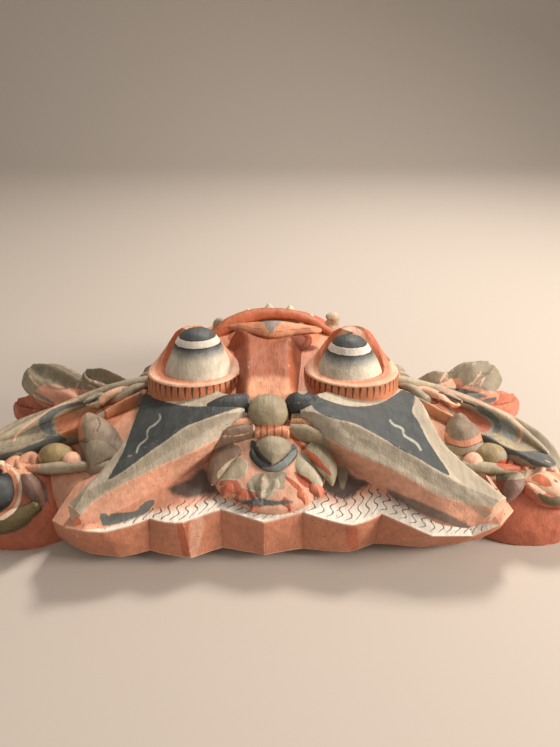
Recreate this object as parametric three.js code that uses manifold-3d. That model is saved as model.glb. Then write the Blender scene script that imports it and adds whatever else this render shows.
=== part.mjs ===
// A carved and painted wooden barong mask, lying face up: one block of light wood, hollow behind.
// Millimetres. +X is to the right as seen from the crown, +Y runs from the crown to the chin, +Z is out of the face.
// While it is carved, Y is counted from the crown's front edge and Z from the table. The finished
// solid is then moved so that the origin is below the middle of its box.

import * as THREE from "three";
import { mergeVertices } from "three/addons/utils/BufferGeometryUtils.js";
import Module from "manifold-3d";

const wasm = await Module();
wasm.setup();

// Driving dimensions
const MASK_WIDTH = 434;
const FACE_WIDTH = 236;
const FACE_LENGTH = 226;
const FACE_RISE = 84;
const FACE_MIDDLE_Y = 146;
const WALL = 19;
const CROWN_TOP = 36;
const CROWN_UNDERSIDE = 8;
const CROWN_SLOPE = 0.3;
const CROWN_DEPTH = 74;
const WING_THICKNESS = 30;
const EYE_SPACING = 114;
const EYE_Y = 108;
const EYE_TILT_DEG = -8;
const LASH_RADIUS = 35;
const LASH_BAND_FOOT = 73;
const LASH_BAND_TOP = 82.5;
const EYEBALL_RADIUS = 24;
const EYEBALL_TOP = 114.4;
const NOSE_TIP_Z = 106;
const LIP_RADIUS = 8;
const MOUTH_WIDTH = 66;
const MOUTH_HEIGHT = 24;
const MOUTH_Y = 200;
const TOOTH_LENGTH = 15;
const EAR_THICKNESS = 11;
const SALMON = 0xc9774f;

// The crown, the wings and the side forms are set out across a mask 434 wide, and follow its width.
const ACROSS = MASK_WIDTH / 434;
const FAR = 2 * (MASK_WIDTH + FACE_LENGTH);

const vector = (p) => new THREE.Vector3(...p);

// The value at t, from 0 to 1, of a list of values spread evenly along it.
function along(values, t) {
  if (!Array.isArray(values)) return values;
  const place = Math.min(t, 0.999999) * (values.length - 1);
  const first = Math.floor(place);
  return THREE.MathUtils.lerp(values[first], values[first + 1], place - first);
}

// A manifold solid from a closed three.js geometry, turned right side out.
function solidOf(geometry) {
  geometry.deleteAttribute("normal");
  geometry.deleteAttribute("uv");
  const merged = mergeVertices(geometry, 1e-4);
  const vertProperties = new Float32Array(merged.attributes.position.array);
  const triVerts = new Uint32Array(merged.index.array);
  const solid = () =>
    new wasm.Manifold(new wasm.Mesh({ numProp: 3, vertProperties, triVerts }));
  if (solid().volume() > 0) return solid();
  for (let i = 0; i < triVerts.length; i += 3) {
    [triVerts[i + 1], triVerts[i + 2]] = [triVerts[i + 2], triVerts[i + 1]];
  }
  return solid();
}

// A closed skin over rings of points, all with the same number of points, each end closed by a fan.
function skin(rings) {
  const count = rings[0].length;
  const corners = rings.flat();
  const faces = [];
  for (let r = 0; r + 1 < rings.length; r++) {
    for (let k = 0; k < count; k++) {
      const a = r * count + k;
      const b = r * count + ((k + 1) % count);
      faces.push(a, b, b + count, a, b + count, a + count);
    }
  }
  const last = (rings.length - 1) * count;
  for (const [start, turned] of [[0, true], [last, false]]) {
    const middle = corners.length;
    const centre = new THREE.Vector3();
    corners.slice(start, start + count).forEach((p) => centre.addScaledVector(p, 1 / count));
    corners.push(centre);
    for (let k = 0; k < count; k++) {
      const a = start + k;
      const b = start + ((k + 1) % count);
      faces.push(...(turned ? [middle, b, a] : [middle, a, b]));
    }
  }
  const geometry = new THREE.BufferGeometry().setFromPoints(corners);
  geometry.setIndex(faces);
  return solidOf(geometry);
}

// A round, squarish or ridged bar swept along a smooth path. Power 2 is round, 4 squarish, 1.2 ridged.
// Width and height are half sizes: one value, or a list spread along the path.
function sweep(path, width, height, { steps = 4, sides = 6, power = 2 } = {}) {
  const curve = new THREE.CatmullRomCurve3(path.map(vector));
  const rings = [];
  for (let i = 0; i <= steps; i++) {
    const t = i / steps;
    const centre = curve.getPoint(t);
    const tangent = curve.getTangent(t);
    const side = new THREE.Vector3().crossVectors(tangent, new THREE.Vector3(0, 0, 1)).normalize();
    const up = new THREE.Vector3().crossVectors(side, tangent);
    const ring = [];
    for (let k = 0; k < sides; k++) {
      const turn = (2 * Math.PI * k) / sides;
      const across = Math.sign(Math.cos(turn)) * Math.abs(Math.cos(turn)) ** (2 / power);
      const rise = Math.sign(Math.sin(turn)) * Math.abs(Math.sin(turn)) ** (2 / power);
      ring.push(
        centre
          .clone()
          .addScaledVector(side, across * along(width, t))
          .addScaledVector(up, rise * along(height, t)),
      );
    }
    rings.push(ring);
  }
  return skin(rings);
}

// An ellipsoid, or with a higher power a boxier one. Yaw turns it about Z, tilt leans its top towards the crown.
function dome(centre, radii, { power = 2, around = 10, up = 6, yaw = 0, tilt = 0 } = {}) {
  const geometry = new THREE.SphereGeometry(1, around, up);
  const place = geometry.attributes.position;
  const point = new THREE.Vector3();
  for (let i = 0; i < place.count; i++) {
    point.fromBufferAttribute(place, i);
    const size = (
      Math.abs(point.x) ** power +
      Math.abs(point.y) ** power +
      Math.abs(point.z) ** power
    ) ** (1 / power);
    // SphereGeometry's poles are on Y, and here they belong on Z
    place.setXYZ(i, point.x / size, -point.z / size, point.y / size);
  }
  geometry.scale(...radii);
  geometry.rotateX(THREE.MathUtils.degToRad(tilt));
  geometry.rotateZ(THREE.MathUtils.degToRad(yaw));
  geometry.translate(...centre);
  return solidOf(geometry);
}

// A turned form from its profile of [radius, height] pairs, leaned towards the crown and set down.
function turned(profile, centre, { around = 24, tilt = 0 } = {}) {
  const geometry = new THREE.LatheGeometry(
    profile.map(([radius, height]) => new THREE.Vector2(radius, height)),
    around,
  );
  geometry.rotateX(Math.PI / 2);
  geometry.rotateX(THREE.MathUtils.degToRad(tilt));
  geometry.translate(...centre);
  return solidOf(geometry);
}

function box(low, high) {
  const size = high.map((h, i) => h - low[i]);
  const geometry = new THREE.BoxGeometry(...size);
  geometry.translate(...low.map((l, i) => l + size[i] / 2));
  return solidOf(geometry);
}

// What differs between the two hand-carved halves. Sign is -1 on the left and 1 on the right.
const LEFT = {
  sign: -1,
  wingTip: [-125, -4, 45],
  wingCorner: [-90, 95, 71],
  eyeballX: -54,
  eyeballShare: 1,
  flameTips: [[-150, 153, 49], [-192, 162, 48], [-217, 156, 24]],
  earTip: [-206, 54, 42],
  fang: [[-42, 14, 68], [-47, 10, 77], [-46, 14, 84], [-41, 19, 85]],
  headY: 52,
  lip: [[-150, 22, 31], [-163, 15, 26], [-182, 14, 22], [-200, 22, 23]],
};
const RIGHT = {
  sign: 1,
  wingTip: [146, 3, 44],
  wingCorner: [101, 92, 71],
  eyeballX: 55,
  eyeballShare: 0.83,
  flameTips: [[143, 154, 48], [180, 169, 50], [197, 160, 28]],
  earTip: [197, 42, 40],
  fang: [[44, 14, 72], [50, 11, 82], [50, 16, 90], [43, 19, 91]],
  headY: 56,
  lip: [[163, 30, 38], [176, 26, 35], [191, 26, 31], [204, 34, 27]],
};
const flip = (side, [x, y, z]) => [side.sign * ACROSS * x, y, z];

// The hollow shell of the face, rounded and boxy.
function faceBlock() {
  const radii = [FACE_WIDTH / 2, FACE_LENGTH / 2, FACE_RISE];
  return dome([0, FACE_MIDDLE_Y, 0], radii, { power: 2.5, around: 20, up: 10 });
}

function hollow() {
  const radii = [FACE_WIDTH / 2 - WALL, FACE_LENGTH / 2 - WALL, FACE_RISE - WALL];
  return dome([0, FACE_MIDDLE_Y, 0], radii, { power: 2.5, around: 16, up: 8 });
}

// The crown's thick front edge: lobes that meet in grooves, each with a creased front wall that leans in.
// Each station is its top edge's x, y and z, then the bottom edge's x and y.
function crown() {
  const stations = [
    [-138, 8, CROWN_TOP - 6, -142, 17],
    [...LEFT.wingTip.slice(0, 2), CROWN_TOP, -128, 7],
    [-113, -7, CROWN_TOP, -115, 1],
    [-102, -7, CROWN_TOP - 1, -96, -1.5],
    [-75, 2.5, CROWN_TOP + 1, -78, 4],
    [-54, -1, CROWN_TOP + 1, -57, -1.5],
    [-32, 9.5, CROWN_TOP + 2, -32, 6.5],
    [-5, 0, CROWN_TOP, -5, 0],
    [19, 7, CROWN_TOP + 2, 20, 5.5],
    [49, -2.5, CROWN_TOP, 48, 2.5],
    [68, 6.5, CROWN_TOP + 1, 66, 10],
    [97, -7.5, CROWN_TOP - 4, 94, 6.5],
    [123, -3.5, CROWN_TOP - 8, 121, 9.5],
    [RIGHT.wingTip[0] - 6, 0, CROWN_TOP - 2, 137, 14],
    [RIGHT.wingTip[0] + 5, 10, CROWN_TOP, 152, 23],
  ];
  const rings = stations.map(([x, y, z, footX, footY]) =>
    [
      [footX, footY, CROWN_UNDERSIDE],
      [x, y, z],
      [x * 0.94, y + 24, z + 24 * CROWN_SLOPE],
      [x * 0.62, CROWN_DEPTH, z + CROWN_DEPTH * CROWN_SLOPE],
      [x * 0.62, CROWN_DEPTH, CROWN_UNDERSIDE],
    ].map(([across, back, up]) => vector([across * ACROSS, back, up])),
  );
  return skin(rings);
}

// A brow wing: a flared plate with a high crest, running from the nose root to the crown's corner.
// Each station goes from the crown side over the crest to the outer rim.
function wing(side) {
  const [cx, cy, cz] = [Math.abs(side.wingCorner[0]), side.wingCorner[1], side.wingCorner[2]];
  const [tx, ty, tz] = [Math.abs(side.wingTip[0]), side.wingTip[1], side.wingTip[2]];
  const stations = [
    [[20, 52, 53], [20, 50, 68], [18, 56, 80], [20, 66, 83]],
    [[33, 46, 51], [31, 43, 70], [28, 50, 83], [34, 76, 82]],
    [[49, 37, 48], [49, 29, 68], [52, 41, 80], [60, 92, 78]],
    [[77, 18, 43], [77, 17, 61], [79, 29, 71.5], [cx, cy, cz]],
    [[103, 2, 38.5], [104, 6, 51], [107, 14, 60], [0.55 * cx + 0.45 * tx - 8, 42, 62]],
    [[0.3 * 107 + 0.7 * tx, ty, 39], [tx - 11, ty + 0.5, 45], [tx - 7, ty + 3, 48], [tx - 1, ty + 7, 46.5]],
  ];
  const rings = stations.map((station, i) => {
    const ring = station.map((p) => vector(flip(side, p)));
    const thickness = WING_THICKNESS * (1 - 0.12 * i);
    const foot = (p) => p.clone().setZ(p.z - thickness);
    return [foot(ring[0]), ...ring, foot(ring[3])];
  });
  return skin(rings);
}

// The eye: a leaning mound with an upright lash band, a lid that climbs behind, and a bullet of an eyeball.
function eye(side) {
  const x = (side.sign * EYE_SPACING) / 2;
  const mound = turned(
    [
      [0, -34],
      [LASH_RADIUS + 1, -32],
      [LASH_RADIUS, LASH_BAND_FOOT - LASH_BAND_TOP],
      [LASH_RADIUS - 0.5, 0],
      [LASH_RADIUS - 5, 1],
      [EYEBALL_RADIUS, 1.5],
      [0, 2],
    ],
    [x, EYE_Y, LASH_BAND_TOP],
    { tilt: EYE_TILT_DEG, around: 16 },
  );
  const rise = EYEBALL_TOP - LASH_BAND_TOP;
  const lid = turned(
    [
      [0, -8],
      [EYEBALL_RADIUS + 3, -6],
      [EYEBALL_RADIUS + 2.6, 0],
      [0.88 * EYEBALL_RADIUS, 0.33 * rise],
      [0.56 * EYEBALL_RADIUS, 0.68 * rise],
      [0.34 * EYEBALL_RADIUS, 0.86 * rise],
      [0, 0.9 * rise],
    ],
    [x, EYE_Y + 6, LASH_BAND_TOP],
    { tilt: EYE_TILT_DEG, around: 12 },
  );
  const ballFoot = LASH_BAND_TOP + 3.5;
  const height = side.eyeballShare * (EYEBALL_TOP - ballFoot);
  const ball = turned(
    [
      [0, -8],
      [1.06 * EYEBALL_RADIUS, -5],
      [0.98 * EYEBALL_RADIUS, 0.05 * height],
      [0.89 * EYEBALL_RADIUS, 0.21 * height],
      [0.73 * EYEBALL_RADIUS, 0.5 * height],
      [0.5 * EYEBALL_RADIUS, 0.82 * height],
      [0.3 * EYEBALL_RADIUS, 0.95 * height],
      [0, height],
    ],
    [side.eyeballX, EYE_Y, ballFoot],
    { tilt: EYE_TILT_DEG, around: 13 },
  );
  return [mound, lid, ball];
}

// The nose: a ridge with a flat top, widening from its root to a lozenge tip with flared nostrils.
function nose() {
  const stations = [
    { y: 58, top: 78, flat: 9, foot: 17 },
    { y: 78, top: 87, flat: 12, foot: 22 },
    { y: 100, top: 94, flat: 18, foot: 29 },
    { y: 122, top: 99, flat: 24, foot: 35 },
    { y: 140, top: 100, flat: 28, foot: 37 },
    { y: 156, top: 92, flat: 20, foot: 34 },
  ];
  const lean = -4;
  const rings = stations.map(({ y, top, flat, foot }) =>
    [
      [lean - foot, y, top - 42],
      [lean - foot + 2, y, top - 18],
      [lean - flat - 4, y, top - 4],
      [lean - flat, y, top],
      [lean, y, top - 1.5],
      [lean + flat, y, top],
      [lean + flat + 3, y, top - 6],
      [lean + foot, y, top - 15],
      [lean + foot, y, top - 42],
    ].map(vector),
  );
  const tip = sweep(
    [[-37, 151, 96], [-16, 141, 98], [0, 137, 98], [18, 141, 97], [38, 149, 94]],
    [3, 10, 14, 10, 3],
    [3, 5, NOSE_TIP_Z - 97, 5, 3],
    { steps: 6, power: 1.5 },
  );
  const nostrils = [-1, 1].map((s) =>
    sweep([[s * 22, 140, 84], [s * 28, 147, 88], [s * 31, 158, 80]], [8, 12, 6], [9, 11, 6]),
  );
  return [skin(rings), tip, ...nostrils];
}

// The muzzle with a wide mouth: two lips, the teeth between them and a curled tusk at each corner.
function muzzle() {
  const snout = dome([0, MOUTH_Y - 40, 56], [54, 36, 36]);
  const upperLip = sweep(
    [
      [-52, MOUTH_Y - 34, 76],
      [-34, MOUTH_Y - 24, 87],
      [-9, MOUTH_Y - 18, 91.5],
      [24, MOUTH_Y - 21, 89],
      [53, MOUTH_Y - 34, 76],
    ],
    [4, LIP_RADIUS, LIP_RADIUS, LIP_RADIUS, 4],
    [5, LIP_RADIUS, LIP_RADIUS, LIP_RADIUS, 5],
    { steps: 6 },
  );
  const chin = dome([0, FACE_MIDDLE_Y + 0.35 * FACE_LENGTH, 24], [56, 34, 44]);
  const lowerLip = sweep(
    [
      [-50, MOUTH_Y - 16, 66],
      [-38, MOUTH_Y + 6, 72],
      [0, MOUTH_Y + 18, 75],
      [38, MOUTH_Y + 6, 72],
      [50, MOUTH_Y - 16, 66],
    ],
    [4, 7, 7, 7, 4],
    [5, 7, 7, 7, 5],
  );
  return [snout, upperLip, chin, lowerLip];
}

function mouthOpening() {
  return sweep(
    [[0, MOUTH_Y - 12, 20], [0, MOUTH_Y, 66], [0, MOUTH_Y + 8, 110]],
    MOUTH_WIDTH / 2,
    MOUTH_HEIGHT / 2,
    { steps: 2, sides: 12 },
  );
}

function teeth() {
  const made = [];
  for (let i = 0; i < 6; i++) {
    const x = -39 + 17.4 * i;
    const back = 0.006 * x * x;
    const tipZ = 101 - 0.008 * x * x;
    const foot = [x, MOUTH_Y - 17 - back, tipZ - TOOTH_LENGTH];
    const tip = [x * 1.03, MOUTH_Y - 4 - back, tipZ];
    made.push(sweep([foot, tip], [8, 0.8], [4, 0.8], { steps: 1 }));
  }
  for (let i = 0; i < 4; i++) {
    const x = -25 + 16.6 * i;
    const y = MOUTH_Y + 13 - 0.009 * x * x;
    made.push(sweep([[x, y + 3, 66], [x, y - 5, 80]], [6, 0.8], [4, 0.8], { steps: 1 }));
  }
  for (const side of [LEFT, RIGHT]) {
    const path = side.fang.map(([x, back, z]) => [x, MOUTH_Y - back, z]);
    made.push(sweep(path, [6, 6, 4, 1.5], [6, 6, 4, 1.5]));
  }
  return made;
}

// The crown jewel between the wings: a knob at the nose root, two collared tusks, a bud in a crescent, and flames.
function jewel() {
  const boss = sweep(
    [[-2, 68, 58], [-2, 48, 56], [-2, 30, 48], [-2, 15, 40], [-3, 5, 37]],
    [15, 25, 34, 28, 9],
    [18, 13, 9, 7, 4],
    { steps: 5, sides: 8, power: 2.6 },
  );
  const knob = dome([-3, 60, 76], [14.5, 13, 12], { around: 10, up: 6, tilt: 20 });
  const made = [boss, knob];
  made.push(dome([17, 66, 80], [9, 10, 9], { around: 8, up: 4 }));
  made.push(dome([-22, 65, 78], [13, 8, 8], { around: 8, up: 4, yaw: -15 }));
  for (const s of [-1, 1]) {
    made.push(sweep([[s * 12, 56, 72], [s * 32, 53, 68]], [6, 4], [7, 5], { steps: 2 }));
    made.push(sweep([[s * 12, 49, 69], [s * 25, 48, 69], [s * 36, 44, 62]], [4, 5, 3], [6, 7, 4]));
    made.push(
      sweep([[s * 25, 43, 66], [s * 29, 36, 66], [s * 34, 29, 60], [s * 39, 23, 53]], [10, 8, 6, 1], [6, 6, 5, 1]),
    );
    made.push(sweep([[s * 17, 38, 62], [s * 24, 27, 58], [s * 31, 17, 48]], [4, 6, 1], [5, 6, 1], { steps: 3 }));
    made.push(sweep([[s * 10, 28, 56], [s * 17, 19, 52], [s * 22, 10, 44]], [6, 7, 1], [5, 6, 1], { steps: 3 }));
  }
  made.push(sweep([[0, 43, 66], [0, 34, 66], [0, 22, 58]], [9, 12, 1.5], [6, 8, 2], { sides: 8 }));
  made.push(sweep([[-12, 40, 70], [-1, 41, 71], [11, 40, 70]], 3.5, 4, { steps: 2 }));
  made.push(
    sweep([[-15, 40, 66], [-13, 28, 58], [0, 18, 53], [13, 28, 58], [16, 38, 66]], [2, 5, 6, 5, 2], [3, 5, 5, 5, 3], {
      steps: 6,
    }),
  );
  made.push(sweep([[-3, 24, 50], [-3, 15, 47], [-3, 7, 41]], [12, 12, 1], [6, 6, 1], { steps: 3 }));
  return made;
}

// The temple and the shoulder that carry the ear and the side ornament.
function shoulder(side) {
  const s = side.sign * ACROSS;
  return [
    dome([s * 104, 86, 20], [40 * ACROSS, 44, 38], { power: 2.6 }),
    dome([s * 132, 60, 0], [38 * ACROSS, 38, 44], { power: 2.6 }),
  ];
}

// A pointed ear lying back, with a cup near the temple, a plug standing in front of it and a pad below.
function ear(side) {
  const s = side.sign * ACROSS;
  const [tipX, ty, tz] = side.earTip;
  const tx = tipX * ACROSS;
  const blade = sweep(
    [[s * 92, 104, 66], [s * 122, 96, 58], [s * 150, 82, 51], [0.6 * tx + s * 60, 0.7 * ty + 28, 46], [tx, ty, tz]],
    [6, 15, 16, 15, 2],
    [8, EAR_THICKNESS, EAR_THICKNESS, EAR_THICKNESS - 1, 3],
    { steps: 6, sides: 8, power: 2.4 },
  );
  const rim = sweep(
    [[s * 88, 112, 72], [s * 118, 107, 66], [s * 146, 97, 60], [s * 167, 84, 54], [tx - s * 10, ty + 12, 46]],
    [4, 5, 6, 6, 3],
    [4, 5, 6, 5, 3],
    { steps: 6, sides: 5 },
  );
  const cup = dome([s * 130, 84, 66], [27, 12, 17], { around: 10, up: 6, yaw: -side.sign * 33 });
  const plug = sweep([[s * 130, 66, 42], [s * 130, 69, 54], [s * 130, 72, 67]], [12, 10, 2.5], [12, 10, 2.5], {
    steps: 2,
    sides: 8,
  });
  const pad = dome([s * 129, 57, 44], [11, 8, 8], { power: 4, around: 8, up: 4 });
  return { solids: [blade, rim, plug, pad], cup };
}

// The beast head at the crown's corner: a rounded cheek, a lidded eye, a knob, a long lip and a curled leaf.
function sideHead(side) {
  const s = side.sign * ACROSS;
  return [
    dome([s * 171, side.headY, 0], [42 * ACROSS, 41, 44], { power: 2.4, around: 14 }),
    sweep([[s * 118, 47, 43], [s * 138, 42, 45], [s * 157, 41, 45], [s * 173, 44, 42]], [3, 5, 5, 3], [4, 5, 5, 3]),
    dome([s * 147, 52, 45], [11, 10, 11], { around: 8, up: 5 }),
    sweep([[s * 140, 53, 43], [s * 127, 51, 43]], [8, 6], [8, 5], { steps: 2 }),
    sweep([[s * 163, 36, 42], [s * 156, 28, 38], [s * 147, 20, 28]], [4, 7, 1], [5, 6, 1]),
    dome([s * 181, side.headY - 24, 35], [15, 12, 12], { tilt: 20 }),
    sweep(side.lip.map(([x, y, z]) => [x * ACROSS, y, z]), [3, 7, 7, 4], [4, 7, 6, 4]),
    sweep([[s * 166, 42, 40], [s * 180, 44, 43], [s * 196, 40, 39]], [4, 6, 3], [5, 6, 3]),
  ];
}

// Three ridged flames that fan out from the cheek behind the ear.
function flames(side) {
  const s = side.sign * ACROSS;
  return side.flameTips.map(([tipX, tipY, tipZ], i) => {
    const tip = [tipX * ACROSS, tipY, tipZ];
    const root = [s * (88 + 6 * i), 130 - 8 * i, 38];
    const bend = [0.55 * tip[0] + 0.45 * root[0], 0.5 * tip[1] + 0.5 * root[1] - 5, 0.75 * tip[2]];
    return sweep([root, bend, tip], [13, 19, 8], [16, 17, 8], { steps: 4, sides: 8, power: 1.5 });
  });
}

// Beard locks round the chin, the plain finish of the far side.
function beard() {
  const made = [];
  for (let i = -2; i <= 2; i++) {
    const turn = THREE.MathUtils.degToRad(33 * i);
    const at = (reach, z) => [
      0.5 * reach * FACE_WIDTH * Math.sin(turn),
      FACE_MIDDLE_Y + 0.5 * reach * FACE_LENGTH * Math.cos(turn),
      z,
    ];
    const drop = Math.abs(i);
    const path = [at(0.72, 56 - 10 * drop), at(1, 40 - 6 * drop), at(1.07, 12)];
    made.push(sweep(path, [10, 29, 6], [9, 11, 6], { steps: 3, power: 1.5 }));
  }
  return made;
}

function carve() {
  const ears = [LEFT, RIGHT].map(ear);
  const proud = [
    faceBlock(),
    crown(),
    ...jewel(),
    ...nose(),
    ...muzzle(),
    ...beard(),
    ...[LEFT, RIGHT].flatMap((side) => [wing(side), ...eye(side), ...shoulder(side), ...sideHead(side), ...flames(side)]),
    ...ears.flatMap((made) => made.solids),
  ];
  const block = wasm.Manifold.union(proud);
  const cuts = [hollow(), mouthOpening(), ...ears.map((made) => made.cup)];
  const cut = block.subtract(wasm.Manifold.union(cuts));
  const dressed = wasm.Manifold.union([cut, ...teeth()]);
  return wasm.Manifold.union(bodiesOf(dressed.subtract(box([-FAR, -FAR, -FAR], [FAR, FAR, 0]))));
}

// The bodies of a solid, with the small pockets that the joined forms close off filled with wood.
function bodiesOf(solid) {
  return solid.decompose().filter((body) => body.volume() > 0);
}

// The solid as a three.js geometry, moved so that the origin is below the middle of its box.
function finished(solid) {
  const mesh = solid.getMesh();
  const geometry = new THREE.BufferGeometry();
  geometry.setAttribute("position", new THREE.BufferAttribute(mesh.vertProperties, 3));
  geometry.setIndex(new THREE.BufferAttribute(mesh.triVerts, 1));
  geometry.computeBoundingBox();
  const middle = geometry.boundingBox.getCenter(new THREE.Vector3());
  geometry.translate(-middle.x, -middle.y, 0);
  geometry.computeVertexNormals();
  return geometry;
}

const paintedWood = new THREE.MeshStandardMaterial({ color: SALMON, roughness: 0.7, metalness: 0 });
const mask = new THREE.Mesh(finished(carve()), paintedWood);
mask.name = "mask";

const part = new THREE.Group();
part.add(mask);

export default part;
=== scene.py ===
import math

import bmesh
import bpy
import numpy as np
from mathutils import Matrix, Vector, noise


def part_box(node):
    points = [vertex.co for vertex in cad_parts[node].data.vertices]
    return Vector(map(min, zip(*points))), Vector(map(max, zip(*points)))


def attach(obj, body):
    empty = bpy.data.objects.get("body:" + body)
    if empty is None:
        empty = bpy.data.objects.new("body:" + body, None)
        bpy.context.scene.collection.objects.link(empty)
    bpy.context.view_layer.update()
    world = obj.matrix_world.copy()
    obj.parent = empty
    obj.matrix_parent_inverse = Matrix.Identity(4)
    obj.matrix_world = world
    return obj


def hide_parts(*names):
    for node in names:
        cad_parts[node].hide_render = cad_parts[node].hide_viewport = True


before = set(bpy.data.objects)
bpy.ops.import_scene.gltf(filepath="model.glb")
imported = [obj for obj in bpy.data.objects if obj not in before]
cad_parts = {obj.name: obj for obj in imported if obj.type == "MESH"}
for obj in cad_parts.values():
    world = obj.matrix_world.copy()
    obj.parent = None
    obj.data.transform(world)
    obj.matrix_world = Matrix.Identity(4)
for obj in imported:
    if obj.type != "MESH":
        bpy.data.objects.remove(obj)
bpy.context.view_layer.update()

bl_info = {
    "name": "Barong mask",
    "version": (1, 0, 0),
    "blender": (4, 5, 0),
    "location": "View3D > Sidebar > Barong mask",
    "description": "A carved and painted barong mask lying face up",
    "category": "Add Mesh",
}

# The carver's measure: millimetres, with Y counted from the crown's front edge and Z from the table.
# The solid ends 213 mm right of the carver's middle line and 7.5 mm in front of its crown line.
LOW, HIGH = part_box("mask")
MIDDLE = Vector((213 - 500 * (HIGH.x - LOW.x), 500 * (HIGH.y - LOW.y) - 7.5, 0))
# How far the painted surface stays inside the solid's box.
CLEARANCE = 0.3

# The view of the photograph, in the carver's measure.
EYE = np.array((5.0, -258.24, 290.0))
PITCH = math.radians(30)
FOCAL = 575
HALF_FRAME = np.array((280.0, 373.5))

WHITE, CREAM, KHAKI, PALE_KHAKI = "#e4dacb", "#cbbfa6", "#968a74", "#b6aa92"
SLATE, DARK_SLATE, MOSS = "#3b3f3d", "#2b2e2d", "#665735"
SALMON, PINK, ORANGE, RUST = "#cf8d6d", "#dcab8e", "#c06c44", "#8f452b"
BROWN, INK, RAW = "#77584a", "#2b231d", "#b98f66"


def coat(tone, outline, ragged=2.0, soft=0.35, cover=1.0, width=None):
    """A painted patch, outlined in points of the photograph's frame, or a brush line of that width there."""
    return {"tone": tone, "outline": outline, "ragged": ragged, "soft": soft, "cover": cover, "width": width}


def linear(tone):
    """An sRGB hex colour, or a setting's linear one, as a linear colour with full cover."""
    if not isinstance(tone, str):
        return [*tone[:3], 1.0]
    shares = [int(tone[i:i + 2], 16) / 255 for i in (1, 3, 5)]
    return [c / 12.92 if c <= 0.04045 else ((c + 0.055) / 1.055) ** 2.4 for c in shares] + [1.0]


def flow(values, t):
    """The value at t, from 0 to 1, on a smooth curve through a list of values."""
    if not isinstance(values, (list, tuple)):
        return values
    last = len(values) - 1
    place = min(max(t, 0), 1) * last
    i = min(int(place), last - 1)
    f = place - i
    a, b = values[i], values[i + 1]
    before = values[i - 1] if i else a * 2 - b
    after = values[i + 2] if i + 2 <= last else b * 2 - a
    bend = (before * 2 - a * 5 + b * 4 - after) * f ** 2 + (a * 3 - before - b * 3 + after) * f ** 3
    return (a * 2 + (b - before) * f + bend) * 0.5


def straight(values, t):
    """The value at t on the straight lines through a list of values."""
    if not isinstance(values, (list, tuple)):
        return values
    place = min(max(t, 0), 0.999999) * (len(values) - 1)
    i = int(place)
    return values[i] + (values[i + 1] - values[i]) * (place - i)


def power_circle(turn, power):
    """A point on a circle, or with a higher power on a squarer ring."""
    c, s = math.cos(turn), math.sin(turn)
    return math.copysign(abs(c) ** (2 / power), c), math.copysign(abs(s) ** (2 / power), s)


def sweep(path, width, height, power=2, blunt=0.07, dish=0, ribs=0):
    """A bar along a smooth path, its ends rounded over, its upper side dished or ribbed where asked."""
    points = [Vector(p) for p in path]
    length = sum((b - a).length for a, b in zip(points, points[1:]))

    def place(s, t):
        centre = flow(points, s)
        tangent = (flow(points, min(s + 0.01, 1)) - flow(points, max(s - 0.01, 0))).normalized()
        side = tangent.cross(Vector((0, 0, 1))).normalized()
        across, rise = power_circle(2 * math.pi * t, power)
        rise -= flow(dish, s) * max(rise, 0) * (1 - across ** 2)
        if ribs and rise > 0:
            rise *= 0.8 + 0.2 * math.cos(ribs * math.pi * across)
        end = min(s, 1 - s) / blunt
        close = math.sqrt(max(1 - (1 - end) ** 2, 0)) if end < 1 else 1
        reach = side * (across * max(flow(width, s), 0.2))
        reach += side.cross(tangent) * (rise * max(flow(height, s), 0.2))
        return centre + reach * close, s * length, t

    return place


def dome(centre, radii, power=2, yaw=0, tilt=0):
    """An ellipsoid, or with a higher power a boxier one, from its top to its foot."""
    turn = Matrix.Rotation(math.radians(yaw), 3, "Z") @ Matrix.Rotation(math.radians(tilt), 3, "X")

    def place(s, t):
        around, down = 2 * math.pi * t, math.pi * s
        x, y, z = math.cos(around) * math.sin(down), math.sin(around) * math.sin(down), math.cos(down)
        size = (abs(x) ** power + abs(y) ** power + abs(z) ** power) ** (1 / power)
        point = Vector((x * radii[0], y * radii[1], z * radii[2])) / size
        return Vector(centre) + turn @ point, t, s

    return place


def turned(profile, centre, tilt=0):
    """A turned form from radius and height pairs, with the height in the map's second place."""
    pairs = [Vector(p) for p in profile]
    turn = Matrix.Rotation(math.radians(tilt), 3, "X")

    def place(s, t):
        radius, height = flow(pairs, s)
        angle = 2 * math.pi * t
        radius = max(radius, 0) if 0 < s < 1 else 0
        point = Vector((radius * math.sin(angle), -radius * math.cos(angle), height))
        return Vector(centre) + turn @ point, t, height

    return place


def lofted(rings, along=flow, across=straight):
    """A skin over rings of corners. The map holds the length along it and the corner's number."""
    columns = [[Vector(ring[k]) for ring in rings] for k in range(len(rings[0]))]
    closed = columns + columns[:1]
    sizes = [sum((a - b).length for a, b in zip(closed[k], closed[k + 1])) for k in range(len(columns))]
    stops = [sum(sizes[:k]) / sum(sizes) for k in range(len(sizes) + 1)]
    length = sum((b - a).length for a, b in zip(columns[0], columns[0][1:]))

    def place(s, t):
        k = max(i for i in range(len(sizes)) if stops[i] <= t + 1e-9)
        f = min((t - stops[k]) / (stops[k + 1] - stops[k]), 1)
        return across([along(closed[k], s), along(closed[k + 1], s)], f), s * length, k + f

    return place


def seen(points):
    """Where points in the carver's measure show in the photograph's frame."""
    rel = points - EYE
    depth = rel[:, 1] * math.cos(PITCH) - rel[:, 2] * math.sin(PITCH)
    rise = rel[:, 1] * math.sin(PITCH) + rel[:, 2] * math.cos(PITCH)
    return HALF_FRAME + FOCAL * np.stack((rel[:, 0] / depth, -rise / depth), 1)


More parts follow.
